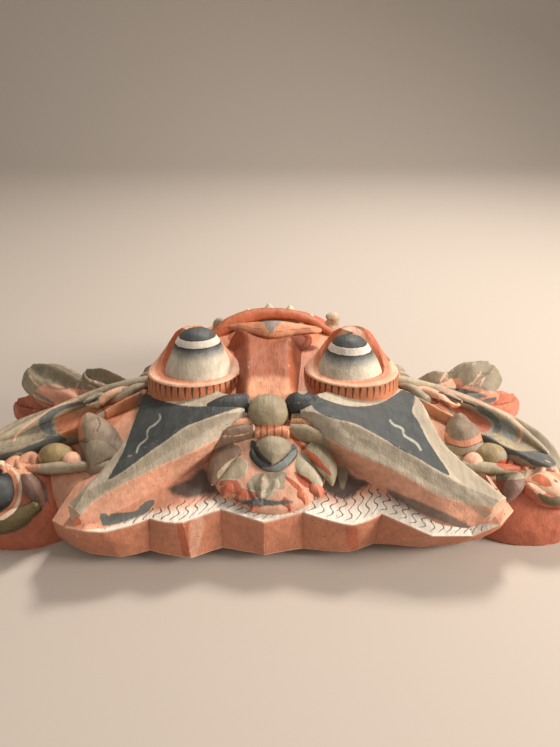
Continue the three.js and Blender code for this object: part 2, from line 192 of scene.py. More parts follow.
def reach_inside(points, outline, width=None):
    """How far points lie inside a closed outline, or inside a brush line of that width."""
    ends = outline[1:] + (outline[:1] if width is None else [])
    nearest = np.full(len(points), 1e9)
    odd = np.zeros(len(points), bool)
    for a, b in zip(outline, ends):
        a, b = np.array(a, float), np.array(b, float)
        step = b - a
        share = np.clip(((points - a) @ step) / max(step @ step, 1e-9), 0, 1)
        nearest = np.minimum(nearest, np.linalg.norm(points - a - share[:, None] * step, axis=1))
        if a[1] != b[1]:
            between = (points[:, 1] < a[1]) != (points[:, 1] < b[1])
            odd ^= between & (points[:, 0] < a[0] + (points[:, 1] - a[1]) * step[0] / step[1])
    return width / 2 - nearest if width is not None else np.where(odd, nearest, -nearest)


def rounded(outline, closed):
    """The points of an outline, or of an open brush line, with its corners drawn smooth."""
    points = [Vector(p) for p in outline]
    ring = [points[-1], *points, *points[:2]] if closed else points
    first, last = (1, len(points) + 1) if closed else (0, len(points) - 1)
    steps = (last - first) * 4 + (0 if closed else 1)
    return [tuple(flow(ring, (first + i / 4) / (len(ring) - 1))) for i in range(steps)]


class Carving:
    """One piece of the mask, gathered from closed forms in one mesh. Its sign is -1 on the left half."""

    def __init__(self, name, sign=1):
        self.name = name
        self.sign = sign
        self.mesh = bmesh.new()
        self.turns = self.mesh.loops.layers.uv.new("turns")
        self.ground = self.mesh.verts.layers.float_color.new("ground")
        self.field = self.mesh.verts.layers.float.new("field")

    def form(self, place, along, around, ground, soft=1, field=None):
        """Adds a closed form. Its ground is a hex colour, or a function that gives one for a place on it."""
        made = bmesh.ops.create_grid(self.mesh, x_segments=along, y_segments=around, size=1)["verts"]
        shares = {v: (round((v.co.x + 1) / 2, 6), round((v.co.y + 1) / 2, 6)) for v in made}
        turns = {}
        for v, (s, t) in shares.items():
            v.co, *turns[v] = place(s, t)
            v[self.ground] = linear(ground(*turns[v]) if callable(ground) else ground)
            if field:
                v[self.field] = field(v.co, *turns[v])
        for face in {f for v in made for f in v.link_faces}:
            for loop in face.loops:
                loop[self.turns].uv = turns[loop.vert]
        bmesh.ops.remove_doubles(self.mesh, verts=made, dist=1e-3)
        made = [v for v in made if v.is_valid]
        rims = {e for v in made for e in v.link_edges if e.is_boundary}
        if rims:
            bmesh.ops.holes_fill(self.mesh, edges=list(rims), sides=0)
        for _ in range(soft):
            bmesh.ops.smooth_vert(
                self.mesh, verts=made, factor=0.5, use_axis_x=True, use_axis_y=True, use_axis_z=True)

    def bar(self, path, width, height, along, around, ground, **shape):
        """Adds a bar swept along a path, which is mirrored on the left half."""
        path = [(self.sign * x, y, z) for x, y, z in path]
        self.form(sweep(path, width, height, **shape), along, around, ground)

    def boss(self, centre, radii, along, around, ground, **shape):
        """Adds a domed boss, which is mirrored on the left half."""
        x, y, z = centre
        self.form(dome((self.sign * x, y, z), radii, **shape), along, around, ground)

    def done(self, material, coats=(), uneven=0.35, hollow=True, cut=None, crease=50):
        """Finishes the carving: unevenness, paint outlines, wear, its place in metres and its material."""
        self.mesh.normal_update()
        bmesh.ops.recalc_face_normals(self.mesh, faces=self.mesh.faces)
        self.mesh.normal_update()
        lowest = [1000 * LOW[i] + MIDDLE[i] + CLEARANCE for i in range(3)]
        highest = [1000 * HIGH[i] + MIDDLE[i] - CLEARANCE for i in range(3)]
        for v in self.mesh.verts:
            wave = noise.noise(v.co / 11) + 0.5 * noise.noise(v.co / 5 + Vector((9, 4, 2)))
            v.co += v.normal * (uneven * wave)
            if hollow:
                v.co = out_of_hollow(v.co)
            for i in range(3):
                v.co[i] = min(max(v.co[i], lowest[i]), highest[i])
        mesh = bpy.data.meshes.new(self.name)
        self.mesh.to_mesh(mesh)
        self.mesh.free()
        count = len(mesh.vertices)
        points = np.empty(count * 3)
        normals = np.empty(count * 3)
        mesh.vertices.foreach_get("co", points)
        mesh.vertex_normals.foreach_get("vector", normals)
        points, normals = points.reshape(-1, 3), normals.reshape(-1, 3)
        facing = (normals * (EYE - points)).sum(1) / np.linalg.norm(EYE - points, axis=1)
        spots = seen(points)
        for i, patch in enumerate(coats):
            line = patch["width"]
            inside = reach_inside(spots, rounded(patch["outline"], line is None), line)
            # nothing is painted through on to faces that look away
            inside = np.minimum(inside, 30 * (facing + 0.12))
            mesh.attributes.new(f"coat_{i}", "FLOAT", "POINT").data.foreach_set("value", inside)
        edge = mesh.attributes.new("edge", "FLOAT", "POINT")
        edge.data.foreach_set("value", sharpness(mesh, points, normals))
        mesh.transform(Matrix.Scale(0.001, 4) @ Matrix.Translation(-MIDDLE))
        mesh.polygons.foreach_set("use_smooth", [True] * len(mesh.polygons))
        mesh.set_sharp_from_angle(angle=math.radians(crease))
        piece = bpy.data.objects.new(self.name, mesh)
        bpy.context.scene.collection.objects.link(piece)
        mesh.materials.append(material)
        if cut:
            cut(piece)
        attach(piece, "root")
        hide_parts("mask")
        return piece


def sharpness(mesh, points, normals):
    """How much each point stands out of its neighbours: above 0 on edges, below 0 in grooves."""
    edges = np.empty(len(mesh.edges) * 2, int)
    mesh.edges.foreach_get("vertices", edges)
    a, b = edges.reshape(-1, 2).T
    total = np.zeros_like(points)
    size = np.zeros(len(points))
    count = np.zeros(len(points))
    span = np.linalg.norm(points[a] - points[b], axis=1)
    for one, other in ((a, b), (b, a)):
        np.add.at(total, one, points[other])
        np.add.at(size, one, span)
        np.add.at(count, one, 1)
    middle = total / count[:, None]
    return ((points - middle) * normals).sum(1) / (size / count)


FACE_MIDDLE = Vector((0, 146, 0))
FACE_RADII = Vector((118, 113, 84))
WALL = 19


def face_size(point, inset):
    """Where a point is on the face's boxy dome, drawn in by an inset: 1 on it, less inside."""
    rel = point - FACE_MIDDLE
    return sum(abs(rel[i] / (FACE_RADII[i] - inset)) ** 2.5 for i in range(3)) ** 0.4


def out_of_hollow(point):
    """A point that would show inside the hollow back goes out into the wall's thickness."""
    share = face_size(point, 11)
    return point if share >= 1 or share < 1e-6 else FACE_MIDDLE + (point - FACE_MIDDLE) / share


def node(tree, kind, inputs=(), output=0, **settings):
    """Adds a node with its settings, links or fills its inputs, and gives the wanted output."""
    made = tree.nodes.new(kind)
    for name, value in settings.items():
        setattr(made, name, value)
    for key, value in inputs.items() if isinstance(inputs, dict) else enumerate(inputs):
        if isinstance(value, bpy.types.NodeSocket):
            tree.links.new(value, made.inputs[key])
        else:
            made.inputs[key].default_value = value
    return made.outputs[output]


def drawn(number, patch):
    """A coat inside a drawn outline, whose edge wavers as a brush's does."""
    def mark(tree, wobble):
        inside = node(tree, "ShaderNodeAttribute", output="Fac", attribute_name=f"coat_{number}")
        ragged = node(tree, "ShaderNodeMath", (wobble, patch["ragged"], inside), operation="MULTIPLY_ADD")
        laid = node(tree, "ShaderNodeMapRange", (ragged, -patch["soft"], patch["soft"], 0.0, patch["cover"]),
                    interpolation_type="SMOOTHSTEP")
        return laid, linear(patch["tone"])
    return mark


def painted_wood(name, coats=(), marks=(), under=(), wear=1.0, pits=1.0, grime_and_shade_amount=0.6):
    """Light carving wood under thin matt paint, brushed on in flat coats.

    To the eye it is dry and chalky, a little streaked, rubbed to bare wood on its edges, darkened in its
    grooves with dirt and painted shade, and pitted here and there.
    """
    material = bpy.data.materials.new(name)
    material.use_nodes = True
    tree = material.node_tree
    tree.nodes.clear()
    place = node(tree, "ShaderNodeTexCoord", output="Object")
    # 22 mm patches where the paint is thicker or dirtier
    broad = node(tree, "ShaderNodeTexNoise",
                 {"Vector": place, "Scale": 45.0, "Detail": 4.0, "Roughness": 0.6})
    # 3 mm wobble of a brush edge
    brush = node(tree, "ShaderNodeTexNoise",
                 {"Vector": place, "Scale": 320.0, "Detail": 3.0, "Roughness": 0.55})
    # 0.8 mm grit of the paint itself
    grit = node(tree, "ShaderNodeTexNoise", {"Vector": place, "Scale": 1300.0, "Detail": 2.0})
    # wood fibres about 1 mm apart, along the face
    stretched = node(tree, "ShaderNodeMapping", {"Vector": place, "Scale": (900.0, 60.0, 600.0)})
    fibres = node(tree, "ShaderNodeTexNoise", {"Vector": stretched, "Scale": 1.0, "Detail": 2.0})
    # 6 mm brush streaks
    streaked = node(tree, "ShaderNodeMapping", {"Vector": place, "Scale": (420.0, 90.0, 260.0)})
    streaks = node(tree, "ShaderNodeTexNoise", {"Vector": streaked, "Scale": 1.0, "Detail": 3.0})
    wobble = node(tree, "ShaderNodeMath", (brush, 0.5), operation="SUBTRACT")
    colour = node(tree, "ShaderNodeAttribute", output="Color", attribute_name="ground")
    for layer in (*under, *[drawn(i, patch) for i, patch in enumerate(coats)], *marks):
        cover, tone = layer(tree, wobble)
        colour = node(tree, "ShaderNodeMix", {0: cover, 6: colour, 7: tone}, 2, data_type="RGBA")
    # thin places let the pale wood through, and dust dulls the broad patches
    spread = node(tree, "ShaderNodeMapRange", (streaks, 0.3, 0.75, 0.82, 1.1))
    patches = node(tree, "ShaderNodeMapRange", (broad, 0.3, 0.7, 0.78, 1.1))
    depth = node(tree, "ShaderNodeMath", (spread, patches), operation="MULTIPLY")
    colour = node(tree, "ShaderNodeMix", {0: 1.0, 6: colour, 7: depth}, 2, data_type="RGBA",
                  blend_type="MULTIPLY")
    edge = node(tree, "ShaderNodeAttribute", output="Fac", attribute_name="edge")
    rubbed = node(tree, "ShaderNodeMath", (wobble, 0.5, edge), operation="MULTIPLY_ADD")
    bare = node(tree, "ShaderNodeMapRange", (rubbed, 0.1, 0.22, 0.0, 0.55 * wear),
                interpolation_type="SMOOTHSTEP")
    # the grooves darken, partly with dirt and partly as painted shade
    grime_and_shade = node(tree, "ShaderNodeMapRange", (rubbed, -0.06, -0.2, 0.0, grime_and_shade_amount),
                interpolation_type="SMOOTHSTEP")
    # pinholes and chips about 0.6 mm wide, a few to the square centimetre
    away = node(tree, "ShaderNodeTexVoronoi", {"Vector": place, "Scale": 330.0}, "Distance")
    rare = node(tree, "ShaderNodeMath", (away.node.outputs["Color"], 0.55), operation="GREATER_THAN")
    hole = node(tree, "ShaderNodeMapRange", (away, 0.1, 0.17, 0.75 * pits, 0.0))
    few = node(tree, "ShaderNodeMapRange", (broad, 0.5, 0.6, 0.0, 1.0))
    pitted = node(tree, "ShaderNodeMath", (rare, hole), operation="MULTIPLY")
    pitted = node(tree, "ShaderNodeMath", (pitted, few), operation="MULTIPLY")
    for cover, tone in ((bare, "#e0b494"), (grime_and_shade, "#3c2a1d"), (pitted, "#4a2f20")):
        colour = node(tree, "ShaderNodeMix", {0: cover, 6: colour, 7: linear(tone)}, 2, data_type="RGBA")
    # shallow gouge cuts about 8 mm across, smoothed under the paint
    gouge = node(tree, "ShaderNodeTexVoronoi", {"Vector": place, "Scale": 125.0}, "Distance")
    relief = node(tree, "ShaderNodeMath", (brush, 0.5, fibres), operation="MULTIPLY_ADD")
    for height, share in ((grit, 0.35), (pitted, -1.2), (gouge, 1.6)):
        relief = node(tree, "ShaderNodeMath", (height, share, relief), operation="MULTIPLY_ADD")
    bump = node(tree, "ShaderNodeBump", {"Height": relief, "Strength": 0.55, "Distance": 0.0005})
    sheen = node(tree, "ShaderNodeMapRange", (broad, 0.3, 0.7, 0.52, 0.68))
    surface = node(tree, "ShaderNodeBsdfPrincipled",
                   {"Base Color": colour, "Roughness": sheen, "Normal": bump})
    tree.links.new(surface, tree.nodes.new("ShaderNodeOutputMaterial").inputs["Surface"])
    return material


def zone(low, high, tone, soft=0.02, ragged=0.1, along="Y"):
    """A coat between two values of the form's own map, with a brush-drawn edge."""
    def mark(tree, wobble):
        turns = node(tree, "ShaderNodeUVMap", uv_map="turns")
        value = node(tree, "ShaderNodeSeparateXYZ", [turns], along)
        value = node(tree, "ShaderNodeMath", (wobble, ragged, value), operation="MULTIPLY_ADD")
        above = node(tree, "ShaderNodeMapRange", (value, low - soft, low + soft, 0.0, 1.0),
                     interpolation_type="SMOOTHSTEP")
        below = node(tree, "ShaderNodeMapRange", (value, high - soft, high + soft, 1.0, 0.0),
                     interpolation_type="SMOOTHSTEP")
        return node(tree, "ShaderNodeMath", (above, below), operation="MULTIPLY"), linear(tone)
    return mark


def lashes(count, low, high, tone):
    """Short wedge strokes round a band, wide at the top."""
    def mark(tree, wobble):
        turns = node(tree, "ShaderNodeUVMap", uv_map="turns")
        around = node(tree, "ShaderNodeSeparateXYZ", [turns], "X")
        up = node(tree, "ShaderNodeSeparateXYZ", [turns], "Y")
        shifted = node(tree, "ShaderNodeMath", (wobble, 0.3 / count, around), operation="MULTIPLY_ADD")
        turn = node(tree, "ShaderNodeMath", (shifted, float(count)), operation="MULTIPLY")
        turn = node(tree, "ShaderNodeMath", [turn], operation="FRACT")
        off = node(tree, "ShaderNodeMath", (turn, 0.5), operation="SUBTRACT")
        off = node(tree, "ShaderNodeMath", [off], operation="ABSOLUTE")
        width = node(tree, "ShaderNodeMapRange", (up, low, high, 0.05, 0.19))
        gap = node(tree, "ShaderNodeMath", (width, off), operation="SUBTRACT")
        stroke = node(tree, "ShaderNodeMapRange", (gap, -0.03, 0.03, 0.0, 0.9))
        ends = node(tree, "ShaderNodeMath", (wobble, 0.35, up), operation="MULTIPLY_ADD")
        ends = node(tree, "ShaderNodeMath", (ends, 0.5 * (low + high), 0.5 * (high - low)),
                    operation="COMPARE")
        return node(tree, "ShaderNodeMath", (stroke, ends), operation="MULTIPLY"), linear(tone)
    return mark


def squiggles(spacing, swing, tone):
    """Thin S-shaped brush lines across the crown's white band, from its edge inwards."""
    def mark(tree, wobble):
        turns = node(tree, "ShaderNodeUVMap", uv_map="turns")
        along = node(tree, "ShaderNodeSeparateXYZ", [turns], "X")
        inward = node(tree, "ShaderNodeSeparateXYZ", [turns], "Y")
        band = node(tree, "ShaderNodeAttribute", output="Fac", attribute_name="field")
        wave = node(tree, "ShaderNodeMath", (inward, 19.0), operation="MULTIPLY")
        wave = node(tree, "ShaderNodeMath", [wave], operation="SINE")
        bent = node(tree, "ShaderNodeMath", (wave, swing, along), operation="MULTIPLY_ADD")
        bent = node(tree, "ShaderNodeMath", (wobble, 2.2, bent), operation="MULTIPLY_ADD")
        bent = node(tree, "ShaderNodeMath", (inward, -9.0, bent), operation="MULTIPLY_ADD")
        turn = node(tree, "ShaderNodeMath", (bent, spacing), operation="DIVIDE")
        turn = node(tree, "ShaderNodeMath", [turn], operation="FRACT")
        off = node(tree, "ShaderNodeMath", (turn, 0.5), operation="SUBTRACT")
        off = node(tree, "ShaderNodeMath", [off], operation="ABSOLUTE")
        line = node(tree, "ShaderNodeMapRange", (off, 0.055, 0.095, 0.9, 0.0))
        near = node(tree, "ShaderNodeMapRange", (band, 0.12, 0.3, 0.0, 1.0))
        far = node(tree, "ShaderNodeMapRange", (band, 1.5, 1.8, 1.0, 0.0))
        held = node(tree, "ShaderNodeMath", (near, far), operation="MULTIPLY")
        held = node(tree, "ShaderNodeMath", (line, held), operation="MULTIPLY")
        spread = node(tree, "ShaderNodeMath", (along, 22.0, 108.0), operation="COMPARE")
        return node(tree, "ShaderNodeMath", (held, spread), operation="MULTIPLY"), linear(tone)
    return mark


def white_band(tone):
    """The band's white, thin and pinkish at its inner side."""
    def mark(tree, wobble):
        band = node(tree, "ShaderNodeAttribute", output="Fac", attribute_name="field")
        ragged = node(tree, "ShaderNodeMath", (wobble, 0.5, band), operation="MULTIPLY_ADD")
        near = node(tree, "ShaderNodeMapRange", (band, -0.03, 0.03, 0.0, 1.0))
        far = node(tree, "ShaderNodeMapRange", (ragged, 0.75, 1.5, 1.0, 0.0))
        return node(tree, "ShaderNodeMath", (near, far), operation="MULTIPLY"), linear(tone)
    return mark


# The crown's edge: its top's x, y and z at each station, its foot's x and y, the white band's depth and
# how far the wall from there to the next station bows out.
CROWN = (
    (-138, 8, 30, -142, 17, 0.01, 0),
    (-125, -4, 36, -128, 7, 0.01, 0),
    (-113, -7, 36, -115, 1, 0.01, 0),
    (-102, -7, 35, -96, -1.5, 2, 1.4),
    (-75, 2.5, 37, -78, 4, 4, 1.6),
    (-54, -1, 37, -51, -2.5, 9, 0),
    (-32, 9.5, 38, -32, 6.5, 8, 0),
    (-5, 0, 36, -5, 0, 11, 0),
    (19, 7, 38, 20, 5.5, 10, 1.2),
    (49, -2.5, 36, 48, 2.5, 13, 1.2),
    (68, 6.5, 37, 66, 10, 12, 0),
    (97, -7.5, 32, 94, 6.5, 14, 0),
    (123, -3.5, 28, 121, 9.5, 7, 0),
    (140, 0, 34, 137, 14, 0.01, 0),
    (151, 10, 36, 152, 23, 0.01, 0),
)
CROWN_FOOT = 8
CROWN_DEPTH = 74
CROWN_SLOPE = 0.3
CROWN_EDGE = 24


def crown_place(s, t):
    """The crown's ring: foot, top edge, a line 24 mm in, the back line, and the underside."""
    cell = min(int(s * (len(CROWN) - 1)), len(CROWN) - 2)
    f = s * (len(CROWN) - 1) - cell
    rings = []
    for x, y, z, foot_x, foot_y, depth, bow in CROWN[cell:cell + 2]:
        rings.append([Vector(p) for p in (
            (foot_x, foot_y, CROWN_FOOT),
            (x, y, z),
            (x * 0.94, y + CROWN_EDGE, z + CROWN_EDGE * CROWN_SLOPE),
            (x * 0.62, CROWN_DEPTH, z + CROWN_DEPTH * CROWN_SLOPE),
            (x * 0.62, CROWN_DEPTH, CROWN_FOOT),
        )])
    stops = (0, 0.28, 0.48, 0.78, 0.9, 1)
    k = max(i for i in range(5) if stops[i] <= t)
    g = min((t - stops[k]) / (stops[k + 1] - stops[k]), 1)
    a, b = rings[0][k], rings[1][k]
    c, d = rings[0][(k + 1) % 5], rings[1][(k + 1) % 5]
    if k == 0 and cell % 2:
        point = a + (b - a) * f + (c - a) * g if f + g < 1 else d + (c - d) * (1 - f) + (b - d) * (1 - g)
    elif k == 0:
        point = a + (b - a) * f + (d - b) * g if g < f else a + (c - a) * g + (d - c) * f
    else:
        point = (a * (1 - f) + b * f) * (1 - g) + (c * (1 - f) + d * f) * g
    bow = CROWN[cell][6] * 4 * f * (1 - f)
    reach = (0.5 + 0.5 * g, 1 - g, 0, 0, 0.5 * g)[k]
    point.y -= bow * reach
    return point, point.x, k + g


def crown_band(point, u, v):
    """How far in from the crown's edge a point is, as a share of the white band's depth there."""
    if v < 1:
        return -0.5 * (1 - v)
    xs = [station[0] for station in CROWN]
    depth = np.interp(point.x, xs, [station[5] for station in CROWN])
    return min(CROWN_EDGE * (v - 1) / max(depth, 0.01), 9)


# What differs between the two hand-carved halves. Every x is counted outwards from the middle line.
LEFT = {
    "sign": -1, "name": "left", "tip": (125, -4), "corner": (90, 95, 71), "ball": 54, "head": 52,
    "flames": ((158, 159, 51), (206, 168, 50), (219, 154, 24)), "ear": (206, 54, 42),
    "plug": ((109, 49, 40), (114, 56, 46), (122, 65, 54), (127, 71, 61), (129, 74, 67)),
    "fang": ((42, 186, 68), (47, 190, 77), (46, 186, 84), (41, 181, 85)),
    "lip": ((150, 22, 31), (163, 15, 26), (182, 14, 22), (200, 22, 23)),
}
RIGHT = {
    "sign": 1, "name": "right", "tip": (146, 3), "corner": (101, 92, 71), "ball": 55, "head": 56,
    "flames": ((147, 158, 49), (184, 172, 51), (203, 152, 30)), "ear": (197, 42, 40),
    "plug": ((131, 56, 41), (131, 61, 47), (131, 67, 54), (130, 71, 60), (130, 73.5, 67)),
    "fang": ((44, 186, 72), (50, 189, 82), (50, 184, 90), (43, 181, 91)),
    "lip": ((163, 30, 38), (176, 26, 35), (191, 26, 31), (204, 34, 27)),
}
# Where the brow wings stand on the crown, drawn over both: a slate feather on the left, and on the right a
# grey band of painted shade along the wing's foot.
BROW_FOOT = [
    coat("#6a6e69", [(100, 514.7), (106.7, 513.8), (109, 518.8), (110.8, 513.8), (135, 511.3),
        (141.7, 504.7), (150, 499.7), (155, 501.3), (148.3, 511.3), (135, 518.8), (118.3, 523.8),
        (105, 525.5), (101.7, 523)], ragged=3.0, soft=0.6),
    # painted shade along the right wing's foot
    coat("#605f5a", [(386, 489), (405, 496), (425, 504), (447, 514), (472, 527), (462, 529), (440, 521),
        (418, 512), (397, 502)], ragged=3.0, soft=1.6, cover=0.8),
]
WING_PAINT = {
    "left": [
        coat(SLATE, [(142, 391), (154.7, 397.7), (170, 403), (185.6, 405.8), (201, 406.4), (214.6, 404.4),
            (230, 399.6), (239.8, 393.8), (257, 385), (266, 389), (259, 398.6), (249, 404.4),
            (239.8, 407.3), (224.3, 412.2), (203, 419.9), (185.6, 426.7), (166.3, 440.2), (147, 453.7),
            (127.6, 468.2), (108.3, 479.8), (114, 468.2), (123.7, 449.9), (133.4, 422.8),
            (139.2, 405.4)], ragged=1.6, soft=0.5),
        coat("#9b9b8d", [(159.5, 414), (160, 419), (154.7, 424.7), (149.8, 427.6), (147, 432.5),
            (147, 438.3), (143, 442), (138.8, 446), (136.3, 452.8)], width=2.0, ragged=0.8, soft=0.5),
        coat(PALE_KHAKI, [(144, 390), (158, 396.5), (170, 400.5), (185.6, 403.5), (201, 404), (214.6, 402),
            (232, 396), (243, 390)], width=3.4, ragged=1.0),
        coat("#8c8069", [(60, 516), (72, 500), (96, 486), (108, 481), (128, 469), (147, 455), (168, 441),
            (187, 428), (204, 421), (225, 413), (238, 414), (205, 432), (170, 452), (140, 470), (112, 487),
            (88, 503), (72, 518)], ragged=1.6, soft=1.6, cover=0.6),
        coat("#b06344", [(60, 519), (76, 517), (81, 521), (81, 529), (70, 527), (62, 523)], ragged=1.0),
        coat(PINK, [(60, 517.5), (70, 518.5), (80, 516)], width=1.6, ragged=1.2),
    ],
    "right": [
        coat(SLATE, [(309.6, 389.9), (320.3, 396.7), (333.8, 402.5), (351.2, 406.4), (370.5, 405.4),
            (386, 400.6), (401.5, 390), (407.3, 386), (414, 391.9), (415, 401.5), (412, 411),
            (418.9, 422.8), (426.6, 438.3), (436.3, 453.7), (449.8, 475), (434.3, 468.2), (416.9, 457.6),
            (401.5, 449.9), (386, 440.2), (370.5, 431.5), (355, 423.8), (339.6, 420), (326, 416),
            (316.4, 411.2), (311.6, 404.4)], ragged=1.6, soft=0.5),
        coat("#9b9b8d", [(389.9, 420), (393.7, 424.7), (402.4, 428.6), (404.4, 435.4), (412, 440.2),
            (417, 444), (420.8, 450)], width=2.4, ragged=0.8, soft=0.5),
        coat(PALE_KHAKI, [(320.3, 395.7), (335.7, 401.2), (351.2, 404), (368.6, 403.5), (384, 398.6),
            (397.6, 389.9), (405.3, 385)], width=3.4, ragged=1.0),
        coat("#8a7f69", [(340, 421), (356, 425), (371, 433), (387, 442), (402, 451), (418, 459), (436, 470),
            (452, 478), (478, 500), (496, 516), (486, 518), (460, 500), (436, 486), (410, 472), (384, 456),
            (352, 436)], ragged=1.6, soft=1.6, cover=0.6),
        coat("#918671", [(416, 392), (421, 402), (428, 420), (440, 438), (455, 456), (475, 474), (500, 496),
            (512, 508), (498, 511), (478, 494), (455, 476), (440, 456), (428, 436), (418, 418),
            (414, 404)], ragged=2.2, soft=1.6, cover=0.6),
        coat(PINK, [(484, 521), (492, 514.5), (503, 511), (512, 509)], width=1.6, ragged=1.6),
    ],
}


def wing_rings(side):
    """A brow wing's rings from the middle outwards: foot, wall, crease, rim and foot again."""
    cx, cy, cz = side["corner"]
    tx, ty = side["tip"]
    stations = (
        ((20, 52, 53), (20, 50, 68), (18, 56, 80), (20, 66, 83)),
        ((33, 46, 51), (31, 43, 70), (28, 50, 83), (34, 76, 82)),
        ((49, 37, 48), (49, 29, 68), (52, 41, 80), (60, 92, 78)),
        ((77, 18, 43), (77, 17, 61), (79, 29, 71.5), (cx, cy, cz)),
        ((103, 2, 38.5), (104, 6, 51), (107, 14, 60), (0.55 * cx + 0.45 * tx - 8, 42, 62)),
        ((32.1 + 0.7 * tx, ty, 39), (tx - 11, ty + 0.5, 45), (tx - 7, ty + 3, 48), (tx - 1, ty + 7, 46.5)),
    )
    rings = []
    for i, station in enumerate(stations):
        ring = [(side["sign"] * x, y, z) for x, y, z in station]
        drop = 30 * (1 - 0.12 * i)
        foot = [(x, y, z - drop) for x, y, z in (ring[0], ring[3])]
        rings.append([foot[0], *ring, foot[1]])
    return rings


# Each eye stands this far out from the middle line and back from the crown's front, and it leans back
# a little: the front of the lash band stands higher than its sides.
EYE_OUT = 57
EYE_ROW = 108
EYE_LEAN = -8
LASH_TOP = 82.5
# The lid's corners from its foot up, in front and behind: distance from the eye's middle, and height.
LID_FRONT = (
    (0.01, -34), (36, -32), (34.8, -9.5), (34.2, 0), (33.2, 1), (29.5, 0.8), (26.5, 1.0), (24.4, 1.6),
    (22.8, 0), (0.01, 0))
LID_BACK = (
    (0.01, -34), (36, -32), (34.8, -9.5), (34.0, 0), (31, 4), (25, 12), (20, 20), (15.2, 26.5),
    (9.5, 30.2), (0.01, 28))
BALL_FOOT = 86
# Each eyeball from its foot to its tip: distance from its middle, and height.
BALLS = {
    "left": (
        (0, -8), (26.5, -7), (25.6, -3), (23.6, 1.5), (21.4, 6), (19.4, 10), (17.4, 14.5), (15.8, 18.5),
        (12.8, 22.5), (8, 26.3), (0, 28.4)),
    "right": (
        (0, -8), (26.5, -7), (25.6, -4), (23.8, -0.5), (21.8, 3), (19.8, 6.2), (17.6, 9.6), (15.2, 13.2),
        (12.3, 17.4), (7.8, 21.2), (0, 23.4)),
}


def lid_place(x):
    """The eye's mound: an upright lash band, and a lid that climbs round the back of the ball."""
    turn = Matrix.Rotation(math.radians(EYE_LEAN), 3, "X")

    def place(s, t):
        angle = 2 * math.pi * t
        away = abs(math.degrees(math.atan2(math.sin(angle), math.cos(angle))))
        share = min(max((away - 60) / 62, 0), 1)
        share = share * share * (3 - 2 * share)
        corners = [Vector(a).lerp(Vector(b), share) for a, b in zip(LID_FRONT, LID_BACK)]
        spot = s * (len(corners) - 1)
        radius, height = straight(corners, s)
        point = Vector((radius * math.sin(angle), -radius * math.cos(angle), height))
        return Vector((x, EYE_ROW, LASH_TOP)) + turn @ point, t, spot

    return place


def carve_face():
    """The shell of the face: its outside, the flat rim it lies on, and the hollow back in bare wood."""
    carving = Carving("face_shell")
    # how far along its map the outside ends, and where the flat rim meets the hollow
    outside, rim = 0.5, 0.56

    def place(s, t):
        inner = s > rim
        inset = WALL if inner else 0
        if s <= outside:
            polar = s / outside * math.pi / 2
        elif inner:
            polar = (1 - s) / (1 - rim) * math.pi / 2
        else:
            polar, inset = math.pi / 2, WALL * (s - outside) / (rim - outside)
        radii = FACE_RADII - Vector((inset, inset, inset))
        x = math.cos(2 * math.pi * t) * math.sin(polar)
        y = math.sin(2 * math.pi * t) * math.sin(polar)
        z = max(math.cos(polar), 0)
        size = (abs(x) ** 2.5 + abs(y) ** 2.5 + abs(z) ** 2.5) ** 0.4
        return FACE_MIDDLE + Vector((x * radii.x, y * radii.y, z * radii.z)) / size, t, s

    # bare wood in the hollow, paint outside
    carving.form(place, 150, 220, lambda u, v: RAW if v > 0.51 else SALMON)

    def open_mouth(piece):
        cutter = Carving("mouth_cutter")
        cutter.form(sweep([(0, 188, 20), (0, 200, 66), (0, 208, 110)], 33, 12, blunt=0.001), 10, 48, RUST)
        mesh = bpy.data.meshes.new("mouth_cutter")
        bmesh.ops.recalc_face_normals(cutter.mesh, faces=cutter.mesh.faces)
        cutter.mesh.to_mesh(mesh)
        cutter.mesh.free()
        mesh.transform(Matrix.Scale(0.001, 4) @ Matrix.Translation(-MIDDLE))
        tool = bpy.data.objects.new("mouth_cutter", mesh)
        bpy.context.scene.collection.objects.link(tool)
        opening = piece.modifiers.new("mouth", "BOOLEAN")
        opening.operation, opening.solver, opening.object = "DIFFERENCE", "EXACT", tool
        bpy.context.view_layer.update()
        done = piece.evaluated_get(bpy.context.evaluated_depsgraph_get())
        open_shell = bpy.data.meshes.new_from_object(done)
        piece.modifiers.clear()
        piece.data = open_shell
        bpy.data.objects.remove(tool)

    coats = [coat(ORANGE, [(150, 372), (240, 372), (330, 372), (400, 375), (400, 400), (150, 400)],
                  ragged=3.0, soft=2.0, cover=0.5)]
    finish = painted_wood("bare and painted wood, shell", coats)
    return carving.done(finish, coats, hollow=False, cut=open_mouth)


CROWN_PAINT = [
    # painted shade on the cut walls beside two lobes' ridges, and a painted highlight on the facet right of
    # the first ridge
    coat("#b4512f", [(176, 520), (189, 521), (190, 556), (183, 556)], ragged=2.0, soft=1.0, cover=0.6),
    coat("#b4512f", [(345, 523), (356, 523), (358, 553), (350, 553)], ragged=2.0, soft=1.0, cover=0.6),
    coat("#d2a58b", [(190, 523), (205, 520), (196, 556), (190, 556)], ragged=2.0, soft=1.0, cover=0.6),
    coat(SLATE, [(168, 489), (180, 482), (190, 478), (201, 468), (210.8, 473), (214.6, 484.7), (222.4, 494),
        (208.8, 494.3), (193.4, 497), (180, 497)], ragged=6.0, soft=2.8, cover=0.9),
    coat(SLATE, [(313.5, 482.7), (333.8, 475), (336.7, 468), (347.3, 470), (355, 477), (370.5, 482.7),
        (358.9, 490.5), (347.3, 500), (337.7, 498), (324, 490.5)], ragged=6.0, soft=2.8, cover=0.9),
    # a painted highlight: a lighter V on the slate of the right lobe
    coat(KHAKI, [(336.7, 468), (348.3, 470), (342.5, 490.5)], ragged=2.0, soft=0.8),
    # a slate feather under the jewel's petals, deepened with painted shadow
    coat(DARK_SLATE, [(224, 490), (250, 492), (270, 496), (292, 496), (300, 486), (310, 490), (296, 503),
        (262, 505), (236, 502)], ragged=5.0, soft=2.5, cover=0.85),
]


